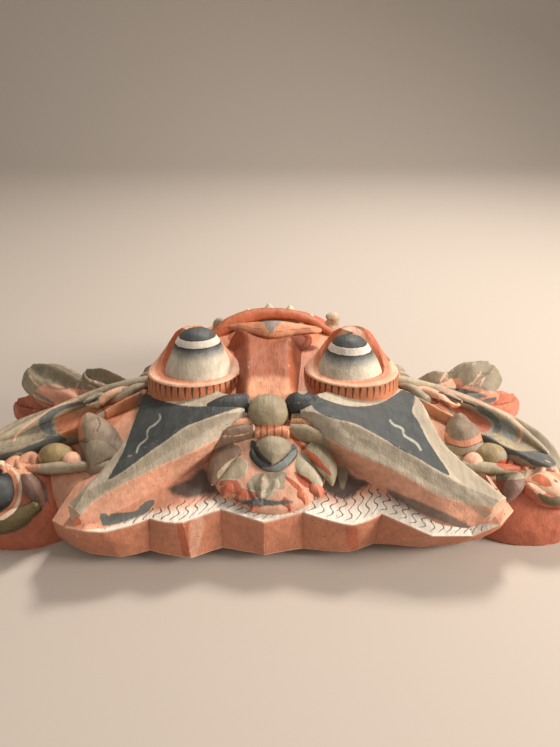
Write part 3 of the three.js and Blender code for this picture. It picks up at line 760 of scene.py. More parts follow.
def carve_crown(settings):
    """The crown's lobed edge with its cut walls, and the slope behind it with its white band."""
    carving = Carving("crown")

    def ground(u, v):
        # the cut walls and the underside are a deeper salmon than what faces up
        return "#c68263" if v < 1 or v > 4 else "#d89d80"

    carving.form(crown_place, 280, 110, ground, soft=0, field=crown_band)
    coats = CROWN_PAINT + BROW_FOOT
    finish = painted_wood("flat paint on cut wood, crown", coats,
                          [white_band(settings.white), squiggles(settings.stroke_spacing, 1.5, "#3d2f25")],
                          wear=settings.wear, pits=1.4, grime_and_shade_amount=0.15)
    return carving.done(finish, coats, uneven=0.3, crease=13)


def carve_wing(side, settings):
    """A brow wing: salmon wall, khaki slope, and a slate hollow under the eye."""
    carving = Carving("brow_wing_" + side["name"])
    carving.form(lofted(wing_rings(side)), 120, 180, settings.salmon, soft=2)
    coats = WING_PAINT[side["name"]] + BROW_FOOT
    # khaki from the crease at corner 2 to the rim, under the drawn coats
    finish = painted_wood("flat paint on smooth wood, wing " + side["name"], coats, under=[
        zone(2.0, 5.4, settings.khaki, 0.03, 0.12), zone(1.93, 2.04, "#d9ab8e", 0.02, 0.1),
    ], wear=settings.wear)
    return carving.done(finish, coats, uneven=0.4)


LID_PAINT = {
    "left": [
        coat("#4a4336", [(200, 317), (212, 317), (219, 324), (225, 333), (226, 338), (219, 334),
            (214.2, 328.3), (207, 323.4)], ragged=0.8, soft=0.4),
        coat(CREAM, [(186.3, 329.2), (193, 323.9), (203.6, 322.2), (212.4, 326.4),
            (217.5, 333.6)], width=1.0, ragged=0.6, soft=0.5),
    ],
    "right": [
        coat("#4a4336", [(322, 327), (334, 319), (346, 317), (360, 323), (371, 333), (381, 345), (390, 360),
            (384, 360), (375, 344), (364, 332), (352, 325.5), (340, 324), (331, 331),
            (326, 337)], ragged=0.8, soft=0.4),
        coat(CREAM, [(346, 328), (357, 328.6), (368, 336), (377, 346)], width=1.0, ragged=0.6, soft=0.5),
    ],
}


def carve_eye(side, settings):
    """An eye: the lash band, the lid that climbs behind, and the bullet-shaped ball with its rings."""
    name = side["name"]
    mound = Carving("eye_lid_" + name)
    mound.form(lid_place(side["sign"] * EYE_OUT), 110, 220, PINK)
    lid_paint = painted_wood("flat paint, eyelid " + name, LID_PAINT[name], [
        zone(1.0, 3.03, "#c67a52", 0.03, 0.04),
        zone(3.03, 3.3, "#a98c66" if name == "right" else "#d9a081", 0.04, 0.1),
        zone(5.1, 6.6, "#c9805c", 0.5, 0.5),
        zone(6.6, 8.2, "#bb6138", 0.25, 0.3),
        lashes(settings.lash_count, 2.15, 2.99, "#43241a"),
    ], wear=settings.wear)
    mound.done(lid_paint, LID_PAINT[name], uneven=0.25)
    ball = Carving("eyeball_" + name)
    profile = BALLS[name]
    ring, pupil = profile[7][1] - 0.5, profile[8][1]
    centre = (side["sign"] * side["ball"], EYE_ROW, BALL_FOOT)
    ball.form(turned(profile, centre, tilt=EYE_LEAN), 96, 128, "#c9bea8")
    ball_paint = painted_wood("flat paint, eyeball " + name, [], [
        zone(ring - 6.5, 40, "#8b8a82", 2.8, 3.0),
        zone(ring - 3.0, 40, "#4f514f", 1.8, 2.6),
        zone(ring - 0.9, 40, INK, 0.25, 0.8),
        zone(ring - 0.1, 40, "#d6ccbc", 0.2, 0.9),
        zone(pupil - 0.3, 40, INK, 0.2, 0.7),
        zone(pupil + 0.3, 40, "#434644", 0.25, 0.9),
    ], wear=0.3, pits=0.2)
    ball.done(ball_paint, uneven=0.15)


def carve_nose():
    """The nose: a flat ridge that widens to a lozenge tip, with flared nostrils."""
    carving = Carving("nose")
    lean = -4
    rings = []
    for y, top, flat, foot in ((56, 76, 13, 20), (72, 84, 14, 22), (94, 92, 15, 27), (116, 96, 15.5, 31),
                               (134, 97, 17, 33), (144, 98, 24, 35), (156, 90, 20, 34)):
        rings.append([(lean + x, y, z) for x, z in (
            (-foot, top - 42), (1 - foot, top - 20), (-flat - 5, top - 9), (-flat - 0.8, top - 1.2),
            (-flat + 1.5, top), (0, top - 0.8), (flat - 1.5, top), (flat + 0.8, top - 1.2),
            (flat + 5, top - 9), (foot - 1, top - 20), (foot, top - 42))])
    carving.form(lofted(rings), 90, 150, "#9a522e", soft=2)
    carving.bar([(-37, 151, 96), (-16, 144, 98), (0, 140, 98), (18, 144, 97), (38, 149, 94)],
                [3.0, 7.0, 10.0, 7.0, 3.0], [2.0, 5.0, 8.0, 5.0, 2.0], 80, 48, "#cf8a62", power=1.5)
    # the two nostrils' wings
    for side in (LEFT, RIGHT):
        carving.sign = side["sign"]
        carving.bar([(20, 138, 80), (24, 147, 85), (28, 160, 81)], [5.0, 6.0, 4.0], [6.0, 5.0, 4.0],
                    40, 40, "#a65b3c")
    coats = [
        coat("#e0a07a", [(246, 392), (252, 378), (285, 378), (293, 392), (300, 402),
            (240, 402)], ragged=3.0, soft=4.0, cover=0.75),
        # the nose's flanks darker than its front: painted shade
        coat("#8e4a2c", [(222, 330), (246, 330), (245, 372), (243, 394), (232, 392),
            (224, 360)], ragged=2.0, soft=2.0, cover=0.75),
        coat("#8e4a2c", [(294, 332), (314, 332), (313, 385), (297, 392),
            (293, 360)], ragged=2.0, soft=2.0, cover=0.75),
        coat("#7b7d78", [(262, 317), (284, 317), (276, 327), (271, 333),
            (265, 326)], ragged=2.0, soft=1.6, cover=0.85),
        coat(INK, [(229, 322.6), (246, 327), (260, 329), (270.5, 332.8), (292, 329.5),
            (322, 327.3)], ragged=0.6, width=0.8, soft=0.4, cover=0.6),
    ]
    finish = painted_wood("flat paint on smooth wood, nose", coats)
    return carving.done(finish, coats, uneven=0.4)


def carve_mouth():
    """The muzzle with its lips and chin, the teeth between the lips, and a curled fang at each corner."""
    muzzle = Carving("muzzle")
    muzzle.boss((0, 160, 56), (54, 36, 36), 60, 90, "#c4744f")
    muzzle.bar([(-52, 166, 77), (-34, 176, 88), (-9, 182, 93), (24, 179, 91.5), (53, 166, 79)],
               [4.0, 6.0, 6.0, 5.0, 3.0], [4.0, 6.0, 5.0, 4.0, 3.0], 90, 40, "#b4653f")
    muzzle.bar([(-50, 184, 66), (-38, 206, 72), (0, 218, 75), (38, 206, 72), (50, 184, 66)],
               [4.0, 7.0, 7.0, 7.0, 4.0], [5.0, 7.0, 7.0, 7.0, 5.0], 90, 40, "#b9582f")
    muzzle.boss((0, 224, 24), (56, 34, 44), 60, 90, SALMON)
    muzzle.done(painted_wood("flat paint, muzzle"), uneven=0.5)
    teeth = Carving("teeth")
    for i in range(6):
        x = -39 + 17.4 * i
        back = 0.006 * x * x
        tip = 98.5 - 0.008 * x * x
        teeth.bar([(x, 183 - back, tip - 15), (x, 187 - back, tip - 8), (x * 1.03, 194 - back, tip)],
                  [9.0, 8.0, 0.6], [4.0, 4.0, 0.8], 24, 28, "#c8b998", power=1.7, blunt=0.03)
    for i in range(4):
        x = -25 + 16.6 * i
        y = 213 - 0.009 * x * x
        teeth.bar([(x, y + 3, 66), (x, y - 5, 80)], [6.0, 0.8], [4.0, 0.8], 16, 24, CREAM, power=1.6)
    for side in (LEFT, RIGHT):
        teeth.sign = side["sign"]
        teeth.bar(side["fang"], [6.0, 6.0, 4.0, 1.5], [6.0, 6.0, 4.0, 1.5], 32, 24, PALE_KHAKI)
    teeth.done(painted_wood("flat paint, teeth"), uneven=0.2)


JEWEL_PAINT = [
    coat("#c98560", [(257.5, 426), (273, 425), (289, 426), (289, 436), (273, 435),
        (257.5, 436)], ragged=1.0),
    *[coat(RUST, [(x, 425.5), (x, 436)], width=1.5, ragged=0.6) for x in (260.8, 267.1, 274.3, 282)],
    coat("#474743", [(251.2, 440.2), (250.2, 447.5), (254.4, 457.9), (259.6, 465.2), (267.9, 468.3),
        (275.2, 467), (267.9, 460), (261.7, 453.8), (257.5, 447.5), (255.4, 441.8)], ragged=1.0),
    coat("#757a75", [(292.4, 442.8), (297.6, 448.5), (294, 457.9), (286.7, 467.3), (278.3, 472.5),
        (267.9, 471.5), (261.7, 467.3), (270, 466.8), (276.2, 464.2), (283.5, 460),
        (289.3, 452.7)], ragged=3.0),
    coat("#9b9079", [(247.1, 485), (251.2, 477.7), (259.6, 473), (270, 473.5), (284.6, 471.5),
        (287.2, 475.6), (284.6, 482.9), (283.5, 489.2), (274.2, 489.2), (257.5, 491.2),
        (249.2, 489.2)], ragged=2.5),
    coat("#a1937a", [(216.9, 474.6), (221, 468.3), (229.4, 461), (238.8, 457.9), (246, 462.1), (246, 471.5),
        (238.8, 477.7), (226.2, 478.8), (219, 478.8)], ragged=2.5),
    coat("#b5a88d", [(295, 462.1), (299.2, 453.8), (307.5, 456.9), (317.9, 465.2), (326.2, 474.6),
        (320, 479.8), (311.7, 479.8), (302.3, 475.6), (295, 469.4)], ragged=1.5),
    coat("#a9512f", [(287.7, 430.8), (291.9, 432.9), (299.2, 441.2), (307.5, 449.6), (316.9, 455.8),
        (324.2, 465.2), (331.5, 473.5), (330.4, 475.6), (324.2, 471.5), (312.7, 463.1), (305.4, 452.7),
        (297.1, 445.4), (288.8, 435)], ragged=1.0),
    coat("#a9512f", [(294, 471.5), (300.2, 474.6), (307.5, 477.7), (312.7, 485), (307.5, 488.1),
        (299.2, 481.9)], ragged=1.5),
    coat("#a9512f", [(285.1, 475.6), (295, 481.9), (302.3, 489.2), (300.2, 492.8), (292.9, 486),
        (286.7, 479.8)], ragged=1.5),
    coat("#a9512f", [(220, 481.9), (229.4, 479.3), (238.8, 481.9), (240.8, 487.1), (249.2, 490.2),
        (257.5, 493.3), (255.4, 499.6), (245, 497.5), (234.6, 494.4), (226.2, 490.2),
        (220, 486)], ragged=4.0, cover=0.85),
    # a slate feather under the petals, deepened with painted shadow
    coat("#565550", [(231.5, 498.5), (245, 500.1), (259.6, 498), (276.2, 500.6), (286.7, 499.6),
        (292.9, 502.7), (267.9, 506), (249.2, 506)], ragged=4.0, soft=1.2),
    *[coat(INK, line, width=0.9, ragged=0.6, soft=0.4, cover=0.85) for line in (
        [(230.9, 412.9), (236.7, 412.3), (244, 409.8)], [(221, 425.8), (232, 427), (244, 424)],
        [(296, 421), (306, 430), (318, 437)], [(222, 418), (233, 418), (246, 414)],
        [(300, 414), (308, 424), (319, 430)])],
    coat(PINK, [(221, 436), (229.4, 436.2), (238.8, 435.4),
        (249.2, 432.9)], width=1.2, ragged=0.8, soft=0.5),
    # painted highlights on the tops of the two dark brow ends
    coat("#9d9070", [(297.6, 388.1), (303.3, 387.6), (307.3, 391.2), (303.3, 394.6),
        (298.1, 392.3)], ragged=1.0),
    coat("#9d9070", [(240, 388), (247, 386.5), (254, 388), (250, 392), (243, 392)], ragged=1.0),
]


def carve_jewel():
    """The crown jewel: a knob, two brow ends, collared tusks, a bud in a crescent, petals and flames."""
    carving = Carving("crown_jewel")
    carving.bar([(-2, 68, 58), (-2, 50, 57), (-2, 32, 50), (-2, 16, 42), (-3, 5, 37.5)],
                [18.0, 29.0, 37.0, 29.0, 9.0], [18.0, 12.0, 8.0, 6.0, 3.0], 80, 110, "#d6a184", power=2.6)
    carving.boss((-3, 60, 76), (13.5, 12.5, 11.5), 50, 70, "#94866a", power=2.3, tilt=20)
    carving.boss((19, 66, 79), (11, 9, 8), 34, 50, DARK_SLATE, power=2.3, yaw=12)
    carving.bar([(-48, 60, 74), (-30, 64, 79), (-14, 66, 80)], [5.0, 8.0, 6.0], [5.0, 7.0, 6.0],
                50, 44, SLATE)
    for side in (LEFT, RIGHT):
        carving.sign = side["sign"]
        outer, inner, tusk = "#93836a", "#a8744f", "#988a6e"
        if side is LEFT:
            outer, inner, tusk = "#7d6450", "#c68f70", "#6f5745"
        # a collar of three rings, one under the other, and the tusk that it holds
        for i, tone in enumerate((outer, inner, outer)):
            carving.bar([(12 - i, 58 - 5 * i, 71 - i), (25 + i, 56 - 5.4 * i, 71 - 1.5 * i),
                         (37 + i, 52 - 5.4 * i, 62 - 2 * i)],
                        [3.4, 4.2, 2.0], [6.0, 6.5, 4.0], 34, 32, tone, power=2.4)
        carving.bar([(23, 43, 62), (31, 36, 59.5), (36, 27, 54.5), (38, 19, 48)], [8.0, 8.0, 6.0, 1.0],
                    [4.0, 3.5, 3.0, 1.0], 50, 44, tusk, power=1.6)
        # a petal, and three flames that lick towards the crown's edge
        carving.bar([(15, 37, 58), (24, 28, 53.5), (31, 18, 47.5)], [5.0, 8.0, 1.5], [3.0, 3.0, 1.5],
                    40, 44, PALE_KHAKI, power=1.5)
        for x, y, z in ((30, 13, 45), (21, 9, 43), (12, 5, 41)):
            carving.bar([(x - 8, y + 11, z + 4), (x - 2, y + 5, z + 1.5), (x, y, z - 1.5)],
                        [3.0, 5.0, 0.8], [2.5, 3.0, 1.0], 24, 28, "#b8684a", power=1.4)
    # down the middle: a bar, the crescent, the bud that lies in it and the ribbed petal
    carving.sign = 1
    carving.bar([(-12, 47, 69), (0, 47.5, 70), (12, 47, 69)], 4.0, 4.0, 34, 28, "#c98560", power=2.6)
    carving.bar([(-13.5, 43, 61.5), (-11.5, 35, 59), (0, 28.5, 56.5), (12.5, 35, 59), (16, 43, 61.5)],
                [1.5, 3.5, 4.5, 3.5, 1.5], [2.5, 3.5, 3.5, 3.5, 2.5], 70, 36, SLATE)
    carving.bar([(0, 46, 62), (0, 40, 63), (0, 33, 61.5), (0, 26, 58.5)], [9.0, 12.5, 9.0, 1.0],
                [6.0, 7.5, 6.0, 2.0], 50, 56, "#92866e", power=1.8)
    carving.bar([(-5, 27, 50), (-6, 18, 47.5), (-7, 8, 42)], [13.0, 13.0, 2.0], [5.0, 5.0, 1.5],
                44, 80, PALE_KHAKI, power=1.7, ribs=3)
    return carving.done(painted_wood("flat paint, crown jewel", JEWEL_PAINT), JEWEL_PAINT, uneven=0.3)


EAR_PAINT = {
    "left": [
        coat("#9b8c74", [(122, 388), (131, 384), (153, 379), (153, 385), (139, 388),
            (124, 393)], ragged=2.5),
        coat("#666a65", [(38.9, 423.9), (41.1, 417.2), (47.8, 411.7), (57.8, 406.7), (71.1, 403.3),
            (84.4, 400.3), (96.7, 397.8), (98.9, 400.6), (86.7, 403.9), (72.2, 407.2), (62.2, 410.6),
            (55.6, 415), (52.2, 420.6), (52.2, 427.2), (55.6, 432.8), (60, 435.6), (51.1, 435),
            (43.3, 431.7)], ragged=1.6, soft=0.8),
        coat("#a99263", [(66.7, 412.8), (77.8, 408.3), (92.2, 405), (100, 402.8), (97.8, 406.3),
            (86.7, 409.7), (75.6, 413), (64.4, 417.2)], ragged=1.2, soft=1.0),
        coat("#bd7750", [(55.3, 421.7), (60, 415.6), (68.9, 413), (84, 411), (96, 407), (96, 420),
            (84, 430), (72, 436), (62, 435), (55.6, 427.8)], ragged=0.8, soft=0.6),
        coat("#c47a52", [(98.9, 405), (106.7, 401.7), (117.8, 399.4), (127.8, 396.1), (138.3, 393.9),
            (133.3, 407.2), (122.2, 417.2), (111.1, 427.2), (106.7, 426.1), (103.3, 417.2),
            (103.3, 410.6)], ragged=3.0, soft=1.6, cover=0.8),
        coat("#8f4629", [(100.6, 405.6), (105, 411.7), (105.6, 417.2),
            (103.3, 421.7)], width=2.2, ragged=1.2, soft=0.7),
        coat(PINK, [(77.8, 399.7), (62.2, 404.4), (50, 409.4), (42.2, 415), (33.3, 420.6), (23.9, 427.8),
            (16.7, 434.4), (14.2, 441.1)], width=1.6, ragged=0.8, soft=0.5),
        coat("#555854", [(0, 455), (16.7, 450.6), (27.8, 446.1), (42.2, 440.6), (47.8, 436.1),
            (58.9, 435.6), (66.7, 439.4), (62.2, 442.8), (50, 443.9), (42.2, 449.4), (38.9, 453.3),
            (26.7, 453.9), (17.8, 452.8), (0, 462)], ragged=1.5, soft=0.8),
        coat(INK, [(53.1, 421.7), (53.1, 427.2), (56.1, 432.8),
            (61.1, 435.2)], width=0.9, ragged=0.5, soft=0.4),
        coat("#bd6a42", [(68.9, 449), (74, 447), (77, 452), (76, 459), (71, 459)], ragged=0.6, soft=0.5),
    ],
    "right": [
        coat("#cf9069", [(419, 402.7), (435, 403.3), (445.7, 408.7), (452.3, 416.7), (445.7, 424.7),
            (435, 419.3), (423, 410)], ragged=1.5, soft=1.0),
        coat("#a65a3a", [(428.3, 398), (440.3, 399.6), (455, 404.7), (469.7, 410), (480.3, 415.3),
            (488.3, 420.7), (490.7, 427.3), (487, 431.6), (481, 432), (475, 426), (467, 418), (455, 412.7),
            (443, 406.7)], ragged=0.8),
        coat("#666a65", [(478, 405), (491, 411.7), (499.3, 419.7), (502, 427.3), (498.7, 432.6),
            (492, 431.7), (494.7, 424.7), (488, 417.3), (478, 411)], ragged=1.2, soft=0.8),
        coat(INK, [(439, 392.4), (445.7, 394.7), (455, 399.6), (469.7, 403.6),
            (475.7, 407.1)], width=1.6, ragged=0.8, soft=0.5),
        coat(PINK, [(440.3, 390), (455, 394), (475, 401.3), (491, 407.3), (508.3, 414.7), (519, 424.7),
            (521.7, 434), (519, 442)], width=2.6, ragged=1.4, soft=0.8),
        coat("#85897f", [(500.7, 419.3), (508.3, 421.7), (515.7, 430), (513, 438.7), (504.3, 437.7),
            (501.7, 428.7)], ragged=2.0, soft=1.2),
        coat("#a99a78", [(495, 433.3), (508.3, 438.7), (519, 444.3), (533.7, 442), (543, 450.3),
            (529.7, 451), (512.3, 448), (500.3, 442.7), (493.7, 437.3)], ragged=1.5, soft=0.8),
        coat("#555754", [(480.3, 436.7), (488.3, 435.3), (496.3, 440.7), (505.7, 447.3), (521.7, 451.3),
            (543, 451.6), (556, 463.3), (547, 467), (533.7, 465.3), (523, 458.7), (512.3, 454.7),
            (501.7, 456.7), (492.3, 454), (483.7, 445.3)], ragged=1.2, soft=0.7),
    ],
}


PLUG_PAINT = {
    "left": [
        coat("#c9825f", [(68, 412), (79, 409), (84, 415), (82, 425), (84, 436), (77, 441),
            (70, 436)], ragged=2.0, soft=0.9),
        coat(INK, [(81, 441), (92, 442.6), (101, 441)], width=1.1, ragged=0.8, soft=0.4),
        coat(INK, [(98, 418), (100, 424), (97, 431)], width=1.6, ragged=1.2, soft=0.5),
        coat("#9c8e76", [(86, 446), (100, 440), (116, 452), (114, 470), (96, 474)], ragged=3.0, soft=1.0),
    ],
    "right": [
        coat("#c9825f", [(444, 428), (450, 437), (460, 441), (474, 438), (484, 430), (482, 440), (466, 447),
            (448, 442)], ragged=1.2, soft=0.6),
        coat("#99896e", [(446, 444), (466, 448), (482, 443), (484, 458), (462, 462),
            (446, 456)], ragged=1.5, soft=0.8),
        coat(INK, [(446, 443.5), (464, 447.5), (482, 442)], width=1.0, ragged=0.8, soft=0.4),
    ],
}


def carve_ear(side):
    """A pointed, dished ear lying back, a raised rim behind it, and a leaning plug in front of it."""
    name = side["name"]
    x, y, z = side["ear"]
    carving = Carving("ear_" + name, side["sign"])
    carving.bar([(92, 106, 66), (122, 97, 60), (150, 83, 52), (0.6 * x + 60, 0.7 * y + 28, 47), (x, y, z)],
                [6.0, 17.0, 20.0, 17.0, 2.0], [8.0, 12.0, 13.0, 11.0, 3.0], 140, 110, "#978a73",
                power=2.6, dish=[0.6, 1.5, 1.5, 1.2, 0.3])
    carving.bar([(88, 113, 71), (118, 110, 65), (147, 100, 57), (169, 87, 52), (x - 8, y + 12, 46)],
                [4.0, 4.0, 4.0, 4.0, 2.0], [4.0, 4.0, 5.0, 4.0, 2.0], 120, 36, "#aa9c83")
    # a twist of two strands between the ear's root and the eye
    for twist, tone in enumerate((KHAKI, PINK)):
        turns = [k * 1.7 + math.pi * twist for k in range(6)]
        strand = [(92 + 9 * k, 103 - 2.2 * k + 4 * math.cos(turn), 69 - 1.3 * k + 3 * math.sin(turn))
                  for k, turn in enumerate(turns)]
        carving.bar(strand, [2.0, 3.4, 3.6, 3.4, 3.0, 1.0], [2.0, 3.0, 3.4, 3.0, 2.6, 1.0], 70, 24, tone)
    carving.done(painted_wood("flat paint, ear " + name, EAR_PAINT[name]), EAR_PAINT[name], uneven=0.3)
    carving = Carving("ear_plug_" + name, side["sign"])
    root = side["plug"][0]
    carving.bar(side["plug"], [18.0, 15.0, 12.5, 8.5, 2.0], [10.0, 12.0, 11.0, 8.0, 2.0], 70, 60, "#86735d",
                power=2.2)
    carving.boss((root[0], root[1] - 2, 42), (17, 9, 7), 34, 50, "#8b7f68", power=3)
    carving.done(painted_wood("flat paint, ear plug " + name, PLUG_PAINT[name]), PLUG_PAINT[name], uneven=0.4)


HEAD_PAINT = {
    "left": [
        coat("#e2c9ae", [(-6, 464), (12, 466), (20, 476), (22, 492), (18, 507), (8, 517),
            (-6, 519)], ragged=1.2),
        coat("#c9825f", [(-6, 467), (10, 469), (17, 478), (19, 492), (15, 505), (6, 513),
            (-6, 515)], ragged=1.2),
        coat(SLATE, [(-6, 471), (8, 473), (13, 481), (14.5, 492), (12, 502), (5, 509),
            (-6, 511)], ragged=0.8),
        coat(MOSS, [(-6, 535), (14, 532), (28, 524), (37, 512), (40, 500), (36, 495), (30, 503), (22, 512),
            (10, 519), (-6, 522)], ragged=1.0),
        coat(BROWN, [(29, 473), (38, 476), (46, 486), (48, 502), (40, 498), (33, 488)], ragged=1.2),
        coat("#8d4a30", [(48, 500), (50, 512), (47, 524), (36, 536)], width=1.6, ragged=2.0, soft=1.0),
        coat("#d79d7c", [(12, 449), (30, 446), (40, 456), (38, 470), (22, 474),
            (10, 464)], ragged=3.0, soft=1.0),
    ],
    "right": [
        coat("#8f836c", [(500, 452), (514, 449), (528, 455), (531, 461), (516, 458),
            (500, 460)], ragged=1.0),
        coat("#a9512f", [(496, 464), (504, 459.5), (516, 459), (530, 464), (522, 470),
            (506, 470)], ragged=0.8),
        coat("#978a71", [(480, 473), (496, 471), (512, 473), (531, 469), (530, 477), (508, 480),
            (486, 479)], ragged=1.0),
        coat("#d9ae90", [(528, 470), (540, 468), (552, 474), (562, 484), (562, 497), (548, 492), (540, 497),
            (532, 488), (526, 480)], ragged=3.0, soft=0.8),
        *[coat("#6a4a38", [(x, y), (x + 3, y + 2)], width=1.4, ragged=2.5, soft=0.6) for x, y in (
            (536, 477), (545, 485), (554, 480))],
        coat("#c0693f", [(531, 478), (538, 474), (546, 477), (552, 485), (546, 487),
            (537, 483)], ragged=2.5),
        coat(MOSS, [(538, 493), (550, 497), (562, 497), (562, 505), (550, 505), (541, 500)], ragged=1.0),
    ],
}


def carve_temple(side):
    """The temple and the beast head at the crown's corner, with its eye, its long lip and its curls."""
    name, sign, head = side["name"], side["sign"], side["head"]
    temple = Carving("temple_" + name, sign)
    temple.boss((104, 86, 20), (40, 44, 38), 60, 90, "#d29878", power=2.6)
    temple.boss((132, 60, 0), (38, 38, 44), 60, 90, "#d29878", power=2.6)
    temple.done(painted_wood("flat paint, temple " + name, EAR_PAINT[name]), EAR_PAINT[name], uneven=0.5)
    carving = Carving("beast_head_" + name, sign)
    carving.boss((171, head, 0), (42, 41, 44), 90, 150, "#b9674a", power=2.4)
    # the lower lid, the eye and the tear at its corner
    carving.bar([(116, 47, 42), (132, 42, 45), (150, 41, 44), (168, 45, 41)],
                [2.0, 4.0, 4.0, 2.0], [3.0, 4.0, 4.0, 2.0], 60, 32, "#a4977c")
    carving.boss((147, 52, 46), (12, 9, 9), 40, 56, "#958057")
    carving.bar([(139, 53, 44), (134, 46, 46), (129, 41, 42)], [4.0, 6.5, 3.0], [4.0, 6.0, 3.0], 34, 40, PINK)
    # curls behind the brow
    for k, tone in enumerate((PINK, "#c88465", PINK)):
        x, y = 164 + 9 * k, 50 - 4 * k
        carving.bar([(x - 5, y - 4, 41), (x, y + 3, 45 - k), (x + 5, y - 2, 43 - k), (x + 2, y - 7, 40)],
                    [2.0, 4.0, 4.0, 1.5], [3.0, 4.0, 4.0, 2.0], 40, 28, tone)
    # the leaf that hangs from the brow, then the cheek and the long lip
    carving.bar([(163, 36, 42), (156, 28, 39), (147, 20, 28)], [4.0, 6.0, 1.0], [5.0, 5.0, 1.0],
                40, 40, BROWN, power=1.7)
    carving.boss((181, head - 24, 34), (15, 12, 12), 40, 60, "#c98865", tilt=20)
    carving.bar(side["lip"], [3.0, 7.0, 7.0, 4.0], [4.0, 6.0, 6.0, 4.0], 70, 48,
                MOSS if side is LEFT else "#b9674a", power=1.7)
    finish = painted_wood("flat paint, beast head " + name, HEAD_PAINT[name])
    return carving.done(finish, HEAD_PAINT[name], uneven=0.4)


LEAF_PAINT = {
    "left": [
        coat("#cf9376", [(46.7, 383.9), (68.9, 388.3), (94.4, 390.6), (111.1, 391.7), (77.8, 399.4),
            (50, 407.2), (38.9, 402.8), (33.3, 393.9)], ragged=3.0, soft=1.2),
        coat("#6f5b4b", [(42.8, 376.1), (48.9, 382.8), (57.8, 387.2), (68.9, 388.3), (60, 390.4),
            (50, 387.7), (44.4, 382.7)], ragged=2.0, soft=1.0, cover=0.8),
        coat("#7f6f5b", [(33.3, 391.7), (42.2, 395), (55.6, 403.9), (46.7, 401.6),
            (36.7, 397.1)], ragged=1.5, soft=0.8),
        *[coat("#d3a386", line, width=2.0, ragged=1.4, soft=0.8) for line in (
            [(93.9, 378.3), (97.8, 383.9), (106.7, 390.6)], [(88.9, 385), (95.6, 389.4), (100, 392.2)],
            [(78, 383), (75, 390)], [(30, 376), (36, 384), (46, 392)])],
        coat("#a65238", [(15, 393.3), (21.1, 391.7), (23.9, 399.4), (27.8, 405), (35.6, 409.4),
            (41.1, 412.8), (27.8, 420), (20, 412.8), (16.1, 405)], ragged=1.5, soft=0.9),
    ],
    "right": [
        coat("#cf9376", [(435, 384.7), (457.7, 378), (464.3, 384.7), (480.3, 388.7), (499, 394),
            (492.3, 403.3), (475, 396.7), (448.3, 390)], ragged=3.0, soft=1.2),
        coat("#5b5c57", [(443, 388), (456.3, 388), (469.7, 390), (487, 396), (475, 398),
            (461.7, 393.3)], ragged=3.0, soft=0.8),
        coat("#5b5c57", [(481.7, 400), (496.3, 397.3), (495, 401.3), (489.7, 403.3)], ragged=2.0, soft=0.8),
        *[coat("#d3a386", line, width=2.0, ragged=1.4, soft=0.8) for line in (
            [(480.3, 372.7), (475, 380.7), (469.7, 384.7)], [(484.3, 378), (480.3, 386)],
            [(446, 373), (440, 382)])],
        coat("#b9623f", [(505.7, 396.7), (508.3, 388), (507.3, 407.3), (500.3, 409.7),
            (491, 403.3)], ragged=1.5, soft=0.9),
    ],
}


def carve_flames(side):
    """Three ribbed leaves that fan out from the cheek behind the ear."""
    name = side["name"]
    carving = Carving("cheek_flames_" + name, side["sign"])
    widths = ([10.0, 13.0, 15.0, 3.0], [12.0, 17.0, 23.0, 8.0], [14.0, 18.0, 16.0, 5.0])
    dips = (6, 14, 4)
    for i, tip in enumerate(side["flames"]):
        root = (88 + 6 * i, 130 - 8 * i, 38)
        bend = [0.45 * tip[k] + 0.55 * root[k] - (0, 0, dips[i])[k] for k in range(3)]
        near = (0.82 * tip[0] + 0.18 * root[0], 0.8 * tip[1] + 0.2 * root[1] - 4, 0.86 * tip[2])
        carving.bar([root, bend, near, tip], widths[i], [14.0, 15.0, 18.0, 4.0], 90, 110,
                    "#877b63" if i < 2 else "#b56a4d", power=1.3, blunt=0.04, ribs=3)
    finish = painted_wood("flat paint, cheek flames " + name, LEAF_PAINT[name])
    return carving.done(finish, LEAF_PAINT[name], uneven=0.6)


def carve_beard():
    """Beard locks round the chin."""
    carving = Carving("beard")
    for i in range(-2, 3):
        turn = math.radians(33 * i)
        path = [(reach * 118 * math.sin(turn), 146 + reach * 113 * math.cos(turn), z)
                for reach, z in ((0.72, 56 - 10 * abs(i)), (1, 40 - 6 * abs(i)), (1.055, 12))]
        carving.bar(path, [10.0, 29.0, 6.0], [9.0, 11.0, 6.0], 60, 120, KHAKI, power=1.5, ribs=5)
    carving.done(painted_wood("flat paint, beard"), uneven=0.5)


class MaskSettings(bpy.types.PropertyGroup):
    floor_width: bpy.props.FloatProperty(
        name="Floor width", description="Width of the plain floor", default=6.0, unit="LENGTH")
    floor_tone: bpy.props.FloatVectorProperty(
        name="Floor colour", description="Colour of the plain floor", subtype="COLOR", size=3,
        default=linear("#b0a69b")[:3])
    salmon: bpy.props.FloatVectorProperty(
        name="Salmon paint", description="The wings' front walls and the temples", subtype="COLOR", size=3,
        default=linear("#dda386")[:3])
    khaki: bpy.props.FloatVectorProperty(
        name="Khaki paint", description="The wings' upper slopes", subtype="COLOR", size=3,
        default=linear("#b0a38e")[:3])
    white: bpy.props.FloatVectorProperty(
        name="White paint", description="The band along the crown's edge", subtype="COLOR", size=3,
        default=linear(WHITE)[:3])
    stroke_spacing: bpy.props.FloatProperty(
        name="Stroke spacing", description="Distance in millimetres between the band's brush lines",
        default=5.6, min=1)
    lash_count: bpy.props.IntProperty(
        name="Lashes", description="Strokes right round each eye's lash band", default=44, min=4)
    wear: bpy.props.FloatProperty(
        name="Wear", description="How far the paint is rubbed off the edges", default=1.0, min=0, max=2)
    backdrop: bpy.props.FloatProperty(
        name="Backdrop", description="How far behind the mask the floor starts to curve up", default=1.2,
        unit="LENGTH")


